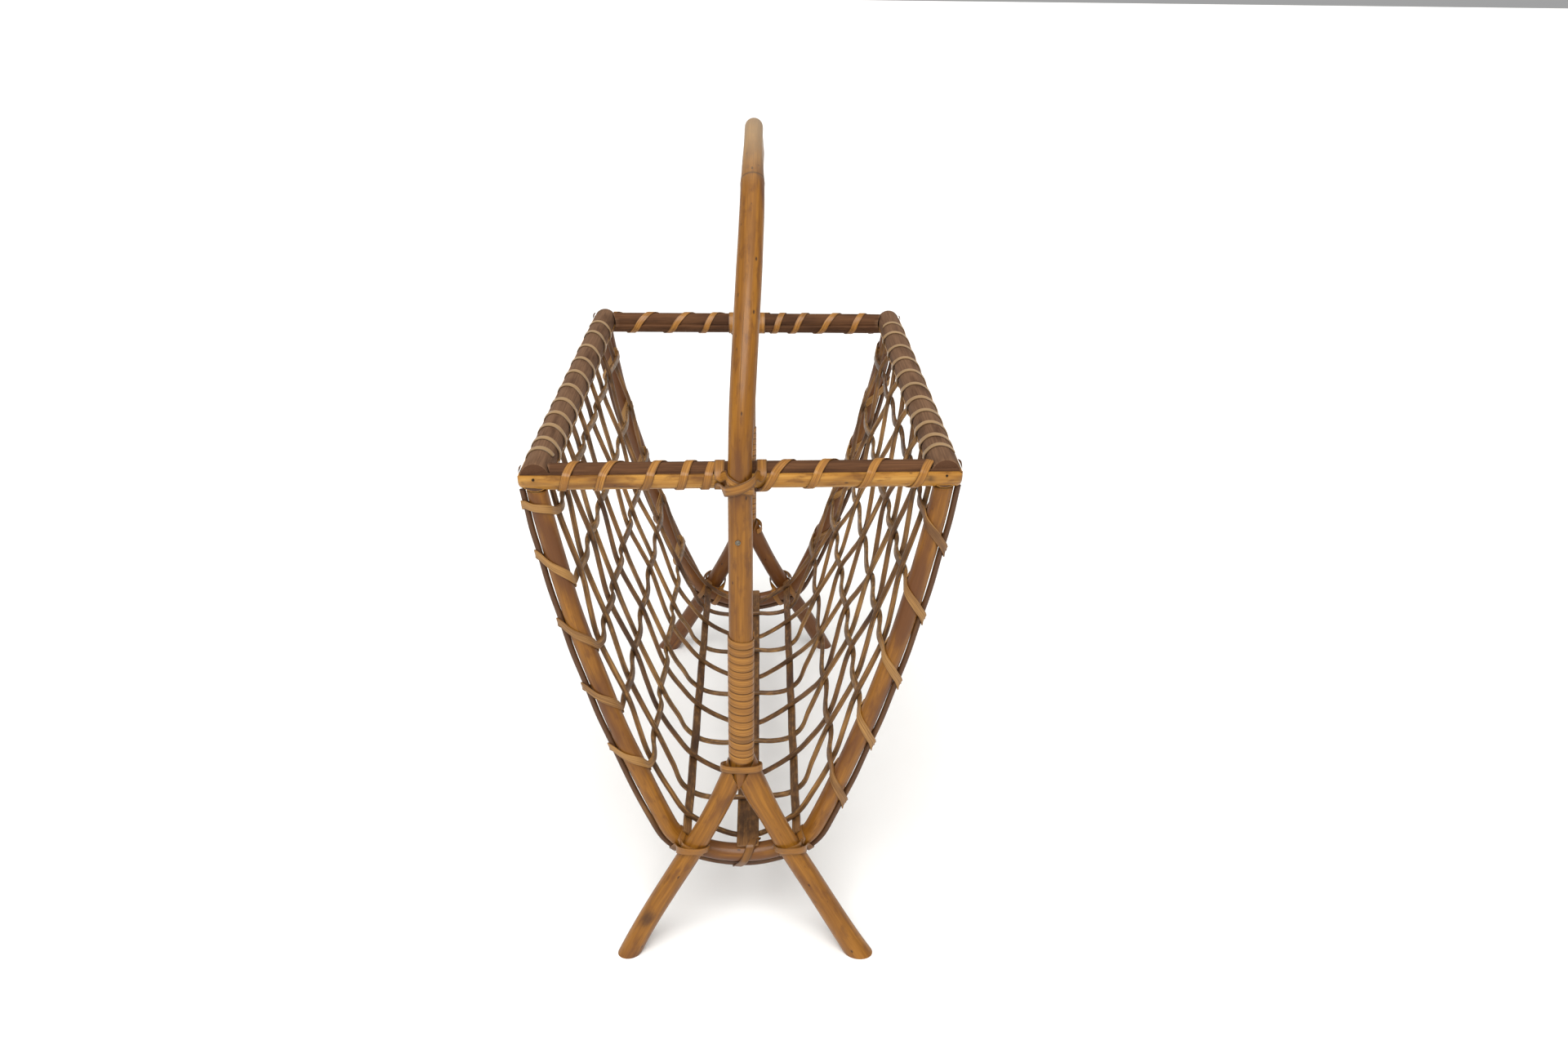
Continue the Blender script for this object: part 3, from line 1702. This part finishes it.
    def end_wrap(
        self, run: float, end: int, rise: float, spread: float, extra: Callable[[Line], list[Member]]
    ) -> list[Place]:
        """Wrap of a strip's end round the hoop and edge strand, climbing in front and sinking at the back.

        Args:
            run: where on the hoop line it starts.
            end: -1 at the near hoop, 1 at the far one.
            rise: how far it climbs.
            spread: half the strip's thickness.
            extra: more members for the bundle at a place on the line.

        Returns:
            The places from the inner side over the outer face.
        """
        step = self.wrap_end / self.wrap_steps

        def corner(line: Line, turn: float, here: float) -> tuple[Vector, Vector]:
            """Direction out of the bundle after a turn, and the strip's corner there.

            Args:
                line: the hoop line there.
                turn: the turn.
                here: run along the line.

            Returns:
                The direction and the corner.
            """
            across = line.outward * sin(turn) + Vector((0, end * cos(turn), 0))
            normal = line.outward * -cos(turn) + Vector((0, end * sin(turn), 0))
            members = [*LINE.bundle(here), *extra(line)]
            return normal, bundle_corner(members, normal, across, step, spread + 0.1)

        gone = [0.0]
        line = LINE.at(run)
        for i in range(1, self.wrap_steps + 1):
            back, front = corner(line, step * (i - 1), run)[1], corner(line, step * i, run)[1]
            gone.append(gone[-1] + (front - back).length)
        places = []
        outer = gone[round(pi / step)]
        for i, way in enumerate(gone):
            climb = way / outer if way < outer else 1 - self.wrap_back * (way - outer) / (gone[-1] - outer)
            crown = self.wrap_crown * max(0.0, sin(step * i)) if abs(run) > self.side_slat else 0.0
            here = run + end * rise * climb + copysign(crown, run)
            line = LINE.at(here)
            normal, offset = corner(line, step * i, here)
            point = Vector((line.x, end * LINE.reach(line.z), line.z)) + offset
            places.append(Place(point, normal))
        return places

    def room(self, row: Row) -> float:
        """How far a weaver's end can climb the hoop before it meets the rim."""
        return min(self.wrap_rise, LINE.half - abs(row.run) - row.width / 2 - self.top_room)

    def wrapped(self, row: Row) -> float:
        """Run at which a weaver's wrap passes over the edge strand of the near hoop."""
        return row.run - (self.room(row) if row.side < 0 else self.wrap_rise)

    def weaver(self, row: Row) -> CaneMesh:
        """A weaver, its ends wrapped round both hoops.

        Args:
            row: its row.

        Returns:
            The swept mesh.
        """
        rises = [self.room(row) if row.side == end else self.wrap_rise for end in (-1, 1)]
        lead, half = self.wrap_lead, self.wrap_thickness / 2
        near, far = (
            self.end_wrap(row.run + end * lead, end, rise - lead, half, lambda line: [])
            for end, rise in zip((-1, 1), rises)
        )
        mesh = CaneMesh(row.name, noise.noise(Vector((row.index * 2.7, 4.5, 0))) * 0.8 - 0.4)
        track = Track([*reversed(near), *self.crossings(row), *far])
        ends = [Track(wrap).length for wrap in (near, far)]

        def flatten(distance: float) -> float:
            """Thickness over the weaver's own, less at its wrapped ends.

            Args:
                distance: distance along the weaver.

            Returns:
                The share of its thickness.
            """
            inside = min(distance - ends[0], track.length - ends[1] - distance)
            share = clamped(inside / self.end_gap)
            return (self.wrap_thickness + (row.thickness - self.wrap_thickness) * share) / row.thickness

        growth = Growth(uneven=0.06, wander=0.25, seed=mesh.seed, flatten=flatten)
        section = Section(row.width, row.thickness, 14, 0.5)
        return mesh.sweep(track, section, 2.2, growth, Cut.THIN)

    def slat_lift(self, row: Row) -> float:
        """Lift at which a flat slat lies on the inner side of the curved hoop.

        Args:
            row: the slat's row.

        Returns:
            The lift, minus inward.
        """
        bend = LINE.shoulder_radius if abs(row.run) > LINE.floor_arc else LINE.floor_radius
        rise = row.width * row.width / (8 * (bend - LINE.radius))
        return -LINE.radius - GAP - rise - row.thickness / 2

    def slat(self, row: Row) -> CaneMesh:
        """A floor slat that lies on both hoops.

        Args:
            row: its row.

        Returns:
            The swept mesh.
        """
        reach = LINE.reach(LINE.at(row.run).z) + self.overhang
        lift = self.slat_lift(row)
        seat = reach - 2 * self.overhang
        near = [LINE.wall(row.run, -reach, lift), LINE.wall(row.run, -seat, lift)]
        far = [LINE.wall(row.run, seat, lift), LINE.wall(row.run, reach, lift)]
        mesh = CaneMesh(row.name, 0.3)
        growth = Growth(uneven=0.03, seed=mesh.seed)
        section = Section(row.width, row.thickness, 20, 0.35)
        return mesh.sweep(Track([*near, *self.crossings(row), *far]), section, 2.5, growth, Cut.THIN)

    def binding(self, end: End) -> CaneMesh:
        """Strip that ties the centre slat's end to the hoop and its edge strand.

        Args:
            end: its end of the basket.

        Returns:
            The mesh at the near end.
        """
        row = next(row for row in self.rows if row.side == 0)

        def slat(line: Line) -> list[Member]:
            """The slat's end as the strip meets it."""
            lift, half = line.outward * self.slat_lift(row), row.thickness / 2
            return [Member(lift + Vector((0, y, 0)), half) for y in (-self.overhang, self.binding_lead)]

        wrap = self.end_wrap(self.centre_aside + self.binding_start, -1, self.binding_rise, 0.45, slat)
        lead = Place(wrap[0].point.copy(), wrap[0].normal)
        lead.point.y = self.binding_lead - LINE.reach(LINE.bottom)
        return lay_strip(f"{end.value}_centre_binding", [lead, *wrap], StripSize(5.6), 1.2)


LATTICE = Lattice()
RIM = Rim()


@dataclass
class EndHoop:
    """An end hoop and the thin strand along its outside."""

    stand_off: float = 0.4
    lashing_reach: float = 11.0
    free_span: float = 30.0

    def build(self) -> None:
        """Builds the hoops and edge strands of both ends."""
        for end in End:
            far = end is End.FAR
            hoop = CaneMesh(f"{end.value}_hoop", 1.5 if far else 0.5)
            growth = Growth(uneven=0.045, wander=0.6, seed=hoop.seed)
            track = Track(LINE.along(lambda run: 0.0, LINE.radius), 4.0)
            hoop.sweep(track, Section.pole(LINE.radius, 28), 4.0, growth, Cut.SAWN)
            hoop.slice(UP * LINE.top, UP, 0.4).finish(SKIN, end.turned())
            strand = CaneMesh(f"{end.value}_edge_strand", 1.4)
            growth = Growth(uneven=0.06, seed=strand.seed)
            track = Track(LINE.along(self.edge_lift(), LINE.radius), 4.0)
            strand.sweep(track, Section.pole(LINE.edge_radius, 12), 4.0, growth, Cut.SAWN)
            strand.slice(UP * LINE.top, UP).finish(WOVEN, end.turned())

    def edge_lift(self) -> Callable[[float], float]:
        """How far out of the hoop the edge strand runs: it stands off a little between the strips round it.

        Returns:
            The distance of the strand from the hoop's middle, by run.
        """
        held = [-LINE.half, -LATTICE.binding_rise, LINE.half]
        held += [LATTICE.wrapped(row) for row in LATTICE.rows if row.level]
        reach = self.lashing_reach
        held += [side.value * LEGS.crossing_run + away for side in Side for away in (-reach, reach)]
        held.sort()

        def lift(run: float) -> float:
            """Distance of the edge strand from the hoop's middle at a run.

            Args:
                run: run along the hoop line.

            Returns:
                The distance.
            """
            i = min(max(bisect_right(held, run), 1), len(held) - 1)
            span = held[i] - held[i - 1]
            bulge = self.stand_off if span > self.free_span else 0.0
            return LINE.edge_lift + bulge * sin(pi * clamped((run - held[i - 1]) / span)) ** 2

        return lift


@dataclass
class Upright:
    """The pole at a lashing.

    Its middle and the directions across and in front of it are read at a height over the lashing.
    """

    radius: float
    at: Callable[[float], tuple[Vector, Vector, Vector]]


@dataclass
class Bar:
    """What an upright is lashed to.

    Its middle, the direction up and its members are read at a distance along it, which a point is measured by.
    """

    at: Callable[[float], tuple[Vector, Vector, list[Member]]]
    measure: Callable[[Vector], float]


@dataclass
class CrossLashing:
    """One strip over the front of an upright, round the bar, over the front the other way and round again."""

    strip: StripSize = field(default_factory=StripSize)
    rise: float = 4.7
    crown: float = 0.0
    spread_angle: float = radians(82)
    ring_angle: float = radians(32)
    clearance: float = 0.1
    tuck: float = 0.0
    pass_steps: int = 14
    ring_steps: int = 28
    rounds: int = 4

    def places(self, upright: Upright, bar: Bar) -> list[Place]:
        """Places of the strip, in order.

        Args:
            upright: the pole in front.
            bar: what it is lashed to.

        Returns:
            The places.
        """
        spread = self.strip.thickness / 2
        inner = upright.radius + GAP + spread
        outer = inner + self.strip.thickness + GAP + self.clearance
        aside = outer + self.strip.width / 2 - self.tuck
        whole = 2 * (pi - self.ring_angle)
        return [
            *self.over_front(upright, inner, 1),
            *self.round_bar(bar, aside, whole),
            *self.over_front(upright, outer, -1),
            *self.round_bar(bar, -aside, whole - self.ring_angle),
        ]

    def over_front(self, upright: Upright, radius: float, start: int) -> list[Place]:
        """Places of one pass over the front of the upright.

        Args:
            upright: the pole.
            radius: distance of the strip from its middle.
            start: 1 or -1, the side where it starts.

        Returns:
            The places.
        """
        places = []
        for i in range(self.pass_steps + 1):
            share = 2 * i / self.pass_steps - 1
            turn = start * self.spread_angle * share
            point, across, face = upright.at(self.rise * share)
            normal = across * sin(turn) + face * cos(turn)
            places.append(Place(point + normal * radius + UP * (self.crown * cos(turn)), normal))
        return places

    def round_bar(self, bar: Bar, distance: float, full_turn: float) -> list[Place]:
        """Places of one ring round the bar, kept level with the upright where the bar curves.

        Args:
            bar: the bar.
            distance: how far from the upright it runs.
            full_turn: angle that it goes round.

        Returns:
            The places.
        """
        step = full_turn / self.ring_steps
        spread = self.strip.thickness / 2 + self.clearance / 2
        places = []
        for i in range(self.ring_steps + 1):
            turn = self.ring_angle + step * i
            along = distance
            for _ in range(self.rounds):
                point, up, members = bar.at(along)
                normal = FRONT * cos(turn) + up * sin(turn)
                across = FRONT * -sin(turn) + up * cos(turn)
                point = point + bundle_corner(members, normal, across, step, spread)
                along += distance - bar.measure(point)
            places.append(Place(point, normal))
        return places


@dataclass
class Handle:
    """The long pole over the basket, its windings, lashings and nail."""

    radius: float = 7.3
    heights: tuple[float, ...] = (0.0, 300.0, 352.0, 385.0, 448.0, 486.0, 495.0, 504.0)
    sizes: tuple[float, ...] = (1.02, 1.0, 0.95, 1.02, 1.08, 1.02, 0.93, 0.83)
    rise: float = 175.0
    arch_start: float = 9.0
    side_pull: float = 65.0
    top_pull: float = 75.0
    tip: Vector = field(default_factory=lambda: Vector((-1.4, 0, 124.5)))
    left_face: float = 140.5
    right_face: float = 143.0
    worn_from: float = 482.0
    worn_height: float = 25.0
    bleached: float = 0.6
    joint: float = 410.0
    straight_steps: int = 20
    arch_steps: int = 60
    end_over: float = 1.0
    cut_height: float = 12.0
    nail_drop: float = 35.0
    nail_aside: float = -1.4
    nail_sunk: float = 0.14
    lashing_width: float = 6.2
    winding_room: float = 0.1
    winding_start: float = 143.5
    winding_width: float = 5.05
    winding_pitch: float = 5.25
    winding_turns: int = 17

    @property
    def y(self) -> float:
        """How far from the middle the handle's straight parts stand."""
        return RIM.length / 2 + self.radius + GAP

    def track(self) -> Track:
        """Line of the whole handle, from the near end over the top to the far end.

        Returns:
            The rounded line.
        """
        spring = RIM.height + self.arch_start
        top = RIM.height + self.rise
        rise = (spring - self.tip.z) / self.straight_steps
        low = self.tip.z - self.end_over
        half = [Vector((0, -self.y, low + rise * i)) for i in range(self.straight_steps)]
        pulls = ((-self.y, spring), (-self.y, spring + self.side_pull), (-self.top_pull, top), (0.0, top))
        for i in range(self.arch_steps + 1):
            s = i / self.arch_steps
            weights = ((1 - s) ** 3, 3 * s * (1 - s) ** 2, 3 * s * s * (1 - s), s**3)
            y, z = (sum(weight * pull[axis] for weight, pull in zip(weights, pulls)) for axis in (0, 1))
            half.append(Vector((0, y, z)))
        points = half + [Vector((0, -point.y, point.z)) for point in reversed(half[:-1])]
        places = []
        for i, point in enumerate(points):
            along = points[min(i + 1, len(points) - 1)] - points[max(i - 1, 0)]
            worn = clamped((point.z - self.worn_from) / self.worn_height) * self.bleached
            places.append(Place(point, -along.cross(RIGHTWARD).normalized(), -worn))
        return Track(places, 4.0)

    def build(self) -> None:
        """Builds the handle and what is wound round it."""
        mesh = CaneMesh("handle")
        track = self.track()

        def taper(distance: float) -> float:
            """Size of the handle, read off by height."""
            return read_off([*zip(self.heights, self.sizes)], track.at(distance).point.z)

        growth = Growth(joints=(self.joint,), taper=taper, uneven=0.02, wander=0.5, seed=mesh.seed)
        mesh.sweep(track, Section.pole(self.radius, 36), 4.0, growth, Cut.SAWN)
        self.sharpen(mesh)
        mesh.finish(SKIN)
        for end in End:
            self.winding(end).finish(STRIP, end.turned())
            self.lashing(end).finish(STRIP, end.turned() @ Side.LEFT.flip)
        face = self.radius - self.nail_sunk
        nail = Vector((self.nail_aside, -self.y - face, RIM.height - self.nail_drop))
        NailHead().build("handle_nail", nail, End.NEAR)

    def face(self, side: Side) -> tuple[Vector, Vector]:
        """A face of the wedge at the near end: a point of it and the direction out of it.

        Args:
            side: the face's side.

        Returns:
            The point and the direction.
        """
        top = self.left_face if side is Side.LEFT else self.right_face
        reach = abs(side.value * self.radius - self.tip.x)
        normal = Vector((side.value * (top - self.tip.z), 0, -reach)).normalized()
        return self.tip - Vector((0, self.y, 0)), normal

    def sharpen(self, mesh: CaneMesh) -> None:
        """Cuts both ends of the handle to a wedge.

        Args:
            mesh: the handle's mesh.
        """
        for end in End:
            for side in Side:
                tip, normal = self.face(side)
                tip, normal = end.turned() @ tip, end.turned() @ normal

                def low(point: Vector, y: float = tip.y) -> bool:
                    """Whether a point is near the wedge of this end."""
                    return point.z < self.right_face + self.cut_height and point.y * y > 0

                mesh.slice(tip, normal, within=low)

    def winding(self, end: End) -> CaneMesh:
        """Close winding above the legs.

        Args:
            end: its end of the basket.

        Returns:
            The mesh at the near end.
        """
        strip = StripSize(self.winding_width)
        steps = 28
        places = []
        distance = self.radius + self.winding_room + strip.thickness / 2
        for i in range(steps * self.winding_turns + 1):
            turn = 2 * pi * i / steps
            normal = Vector((cos(turn), -sin(turn), 0))
            height = self.winding_start + self.winding_width / 2 + self.winding_pitch * i / steps
            places.append(Place(Vector((0, -self.y, height)) + normal * distance, normal))
        return lay_strip(f"{end.value}_handle_winding", places, strip)

    def lashing(self, end: End) -> CaneMesh:
        """Cross lashing of the handle to the rail.

        Args:
            end: its end of the basket.

        Returns:
            The mesh at the near end.
        """

        def at(height: float) -> tuple[Vector, Vector, Vector]:
            """The handle at a height over the rail."""
            return Vector((0, -self.y, RIM.height + height)), RIGHTWARD, FRONT

        def bar_at(along: float) -> tuple[Vector, Vector, list[Member]]:
            """The rail at a distance along it."""
            centre = Vector((along, RIM.radius - RIM.length / 2, RIM.height))
            return centre, UP, RIM.members()

        bar = Bar(bar_at, lambda point: point.x)
        strip = StripSize(self.lashing_width)
        places = CrossLashing(strip).places(Upright(self.radius, at), bar)
        return lay_strip(f"{end.value}_handle_lashing", places, strip)


@dataclass
class NailHead:
    """Small nail with a domed head, its axis along Y."""

    head: float = 1.7
    height: float = 0.8
    shank: float = 0.8
    length: float = 11.0

    def build(self, name: str, place: Vector, end: End, rust: float = 0.0) -> None:
        """Builds a nail.

        Args:
            name: name of the piece.
            place: where its head meets the surface.
            end: its end of the basket.
            rust: how dark its head is, from 0 to 1.
        """
        mesh = CaneMesh(name)
        bm = mesh.bm
        radii = (0.0, self.head * 0.55, self.head * 0.9, self.head, self.head, self.shank, self.shank, 0.0)
        dome = (-self.height * share for share in (1.0, 0.92, 0.55, 0.1))
        outline = zip(radii, (*dome, 0.0, 0.02, self.length - self.shank, self.length))
        verts = [bm.verts.new((radius, y, 0)) for radius, y in outline]
        geom = [*verts, *(bm.edges.new(pair) for pair in zip(verts, verts[1:]))]
        turn = 2 * pi
        bmesh.ops.spin(bm, geom=geom, cent=(0, 0, 0), axis=-FRONT, angle=turn, steps=24, use_merge=True)
        bmesh.ops.remove_doubles(bm, verts=bm.verts, dist=10 * mesh.MERGE)
        for vert in bm.verts:
            away = hypot(vert.co.x, vert.co.z)
            vert[mesh.marks] = Vector((0, 1.0 if away > self.head * 0.95 or vert.co.y > 0 else 0.0, rust))
        bmesh.ops.translate(bm, vec=place, verts=bm.verts)
        mesh.finish(STEEL, end.turned())


@dataclass
class CrossedLegs:
    """Two crossed legs at each end, with their lashings, apex band and corner nails."""

    radius: float = 7.2
    bow: float = 5.0
    bow_length: float = 195.0
    apex: float = 150.0
    top_drop: float = 4.0
    knot: tuple[float, float, float] = (41.0, pi / 2 - 0.4, 3.0)
    left_size: float = 0.98
    right_size: float = 1.03
    full_from: float = 98.0
    full_height: float = 26.0
    left_full: float = 0.2
    right_full: float = 1.4
    flare: float = 1.0
    flare_aside: float = 2.7
    flare_height: float = 60.0
    wedge_room: float = 0.05
    pole_steps: int = 30
    lashing_width: float = 4.6
    lashing_room: float = 1.06
    lashing_tilt: float = 0.4
    nail_head: float = 0.65
    lashing_rise: float = 5.4
    spread: float = 75.0
    splay: float = 29.0
    band_width: float = 5.0
    band_drop: float = 9.4
    band_tilt: float = 0.4
    band_room: float = 0.8
    band_spread: float = 0.7
    top_face: Vector = field(default_factory=lambda: Vector((-2, 0, 1)))

    def __post_init__(self) -> None:
        """Finds where a leg crosses the hoop."""
        low, high = 0.0, LINE.half
        for _ in range(40):
            middle = (low + high) / 2
            line = LINE.at(middle)
            if line.x < self.x(line.z):
                low = middle
            else:
                high = middle
        self.crossing_run = low
        self.crossing = LINE.at(low)
        self.top = self.apex - self.top_drop

    def x(self, z: float) -> float:
        """Place of a leg across the basket, bowed a little toward the middle."""
        bow = self.bow * abs(sin(pi * z / self.bow_length)) ** 3
        return self.spread * (1 - z / self.apex) - bow

    def place(self, z: float) -> Vector:
        """Middle of the near right leg at a height.

        Args:
            z: the height.

        Returns:
            The place.
        """
        bend = self.crossing.z
        across = LINE.reach(bend) + LINE.radius + self.radius + GAP
        foot = (RIM.length / 2 + self.splay) * (bend - z) * (self.top - z) / (bend * self.top)
        middle = across * z * (self.top - z) / (bend * (self.top - bend))
        high = HANDLE.y * z * (z - bend) / (self.top * (self.top - bend))
        return Vector((self.x(z), -foot - middle - high, z))

    def fullness(self, z: float, side: Side) -> float:
        """How much fuller than elsewhere a leg is at a height, toward the handle's wedge."""
        most = self.right_full if side is Side.RIGHT else self.left_full
        return most * eased(clamped((z - self.full_from) / self.full_height))

    def flared(self, z: float, side: Side) -> float:
        """How much of the right feet's flare there is at a height, from 0 to 1."""
        return max(0.0, 1 - z / self.flare_height) ** 3 if side is Side.RIGHT else 0.0

    def build(self) -> None:
        """Builds the legs of both ends."""
        for end in End:
            for side in Side:
                turn = end.turned() @ side.flip
                self.leg(f"{end.value}_{side.word}_leg", side).finish(SKIN, turn)
                self.lashing(f"{end.value}_{side.word}_leg_lashing").finish(STRIP, turn)
                nail = Vector((side.value * (RIM.width / 2 - RIM.radius), -RIM.length / 2, RIM.height))
                NailHead(head=self.nail_head).build(f"{end.value}_{side.word}_corner_nail", nail, end, 1.0)
            self.band(end).finish(STRIP, end.turned())

    def leg(self, name: str, side: Side) -> CaneMesh:
        """A leg from the floor to the handle's wedge, laid out on the right of the near end.

        Args:
            name: name of the piece.
            side: its side.

        Returns:
            The cut mesh.
        """
        mesh = CaneMesh(name, 1.5 if name.startswith("far") else -0.2)
        low, high = -self.radius, self.top + 2 * self.radius
        places = []
        for i in range(self.pole_steps + 1):
            z = low + (high - low) * i / self.pole_steps
            wide = self.fullness(z, side)
            shift = Vector((self.flare_aside * self.flared(z, side) - wide, wide, 0))
            places.append(Place(self.place(z) + shift, FRONT))
        knots = (self.knot,) if name == "near_left_leg" else ()
        size = self.right_size if side is Side.RIGHT else self.left_size
        track = Track(places, 4.0)

        def taper(distance: float) -> float:
            """Size of the leg, fuller at the wedge and at the right foot."""
            z = track.at(distance).point.z
            return size + (self.fullness(z, side) + self.flare * self.flared(z, side)) / self.radius

        growth = Growth(taper=taper, uneven=0.02, wander=0.5, seed=mesh.seed, knots=knots)
        mesh.sweep(track, Section.pole(self.radius, 28), 3.0, growth, Cut.SAWN)
        mesh.slice(Vector(), -UP, 0.5)
        mesh.slice(Vector((HANDLE.radius, 0, HANDLE.right_face)), self.top_face.normalized())
        tip, normal = (side.flip @ vector for vector in HANDLE.face(side))
        mesh.slice(tip + normal * self.wedge_room, -normal)
        return mesh.slice(tip + RIGHTWARD * self.wedge_room, -RIGHTWARD)

    def lashing(self, name: str) -> CaneMesh:
        """Cross lashing of the near right leg to the hoop.

        Args:
            name: name of the piece.

        Returns:
            The swept mesh.
        """
        line = self.crossing
        tangent = Vector((cos(line.angle), 0, sin(line.angle)))
        tilt = line.angle * self.lashing_tilt
        level = Vector((cos(tilt), 0, sin(tilt)))
        strip = StripSize(self.lashing_width)

        def at(height: float) -> tuple[Vector, Vector, Vector]:
            """The leg at a height over the crossing."""
            return self.place(line.z + self.lashing_rise + height), level, FRONT

        def bar_at(along: float) -> tuple[Vector, Vector, list[Member]]:
            """The hoop at a distance along it.

            Args:
                along: the distance.

            Returns:
                Its middle, the direction up and its members.
            """
            here = LINE.at(self.crossing_run + along)
            point = Vector((here.x, -LINE.reach(here.z), here.z))
            return point, -here.outward, LINE.bundle(self.crossing_run + along)

        start = self.place(line.z + self.lashing_rise)
        bar = Bar(bar_at, lambda point: (point - start).dot(tangent))
        lashing = CrossLashing(strip, rise=2.0, crown=4.6, ring_angle=radians(24), tuck=3.8)
        return lay_strip(name, lashing.places(Upright(self.radius * self.lashing_room, at), bar), strip, 0.6)

    def band(self, end: End) -> CaneMesh:
        """Band round the handle's wedge and the two leg tops, open at the back.

        Args:
            end: its end of the basket.

        Returns:
            The mesh at the near end.
        """
        wide = self.radius * (hypot(1, self.spread / self.apex) - 1) + self.band_room
        steps = 40
        step = 2 * pi / steps
        places = []
        for i in range(2, steps - 1):
            turn = step * i
            normal = Vector((sin(turn), cos(turn), 0))
            across = Vector((cos(turn), -sin(turn), 0))
            height = self.apex - self.band_drop - self.band_tilt * self.radius * (1 + cos(turn))
            centre = self.place(height)
            depth = centre.y + HANDLE.y
            spots = [side * centre.x + away for side in (-1, 1) for away in (-wide, wide)]
            members = [Member(Vector((spot, depth, 0)), self.radius) for spot in spots]
            members.append(Member(Vector(), HANDLE.radius))
            point = bundle_corner(members, normal, across, step, self.band_spread)
            places.append(Place(point + Vector((0, -HANDLE.y, height)), normal))
        return lay_strip(f"{end.value}_apex_band", places, StripSize(self.band_width))


HANDLE = Handle()
LEGS = CrossedLegs()


@dataclass
class Studio:
    """Pale floor, soft light and the camera at the photograph's viewing angle."""

    eye: tuple[float, float, float] = (11.28, -830.44, 589.08)
    yaw: float = radians(1.269)
    pitch: float = radians(23.705)
    roll: float = radians(0.682)
    focal: float = 1467.35
    picture_width: int = 1920
    sensor: float = 36.0
    sky_strength: float = 0.36
    floor_reach: float = 300.0

    def build(self) -> None:
        """Builds the floor, the lights and the camera."""
        self.floor()
        self.sun("key", (-0.1, -0.85, 1.15), 3.25, radians(48))
        self.sun("top", (-0.1, 0.1, 1.6), 0.6, radians(70))
        world = bpy.data.worlds.new("studio")
        world.use_nodes = True
        sky = world.node_tree.nodes["Background"]
        sky.inputs["Color"].default_value = (1, 1, 1, 1)
        sky.inputs["Strength"].default_value = self.sky_strength
        bpy.context.scene.world = world
        bpy.context.scene.view_settings.view_transform = "Standard"
        self.camera()

    def floor(self) -> None:
        """Builds the floor."""
        bm = bmesh.new()
        bmesh.ops.create_grid(bm, x_segments=8, y_segments=8, size=self.floor_reach)
        floor = placed("floor", bm)
        floor.data.materials.append(StudioPaper("floor").material())

    @staticmethod
    def sun(name: str, place: tuple[float, float, float], power: float, softness: float) -> None:
        """Adds a broad soft light from far away.

        Args:
            name: name of the light.
            place: direction it comes from.
            power: its strength.
            softness: how wide it looks from the basket.
        """
        data = bpy.data.lights.new(name, "SUN")
        data.energy, data.angle = power, softness
        lamp = bpy.data.objects.new(name, data)
        lamp.rotation_euler = (-Vector(place)).to_track_quat("-Z", "Y").to_euler()
        bpy.context.scene.collection.objects.link(lamp)

    def camera(self) -> None:
        """Adds the camera."""
        data = bpy.data.cameras.new("camera")
        data.sensor_width = self.sensor
        data.sensor_fit = "HORIZONTAL"
        data.lens = self.focal * self.sensor / self.picture_width
        data.clip_start = 0.01
        camera = bpy.data.objects.new("camera", data)
        turns = ((-self.yaw, "Z"), (pi / 2 - self.pitch, "X"), (self.roll, "Z"))
        camera.matrix_world = Matrix.Translation(Vector(self.eye) * MM)
        for angle, axis in turns:
            camera.matrix_world = camera.matrix_world @ Matrix.Rotation(angle, 4, axis)
        bpy.context.scene.collection.objects.link(camera)
        bpy.context.scene.camera = camera


def write_sizes() -> None:
    """Writes the CAD box and the visual model's box for comparison."""
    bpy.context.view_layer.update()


def main() -> None:
    """Builds the basket and its studio in order."""
    Studio().build()
    RIM.build()
    EndHoop().build()
    HANDLE.build()
    LEGS.build()
    LATTICE.build()
    write_sizes()


if __name__ == "__main__":
    main()
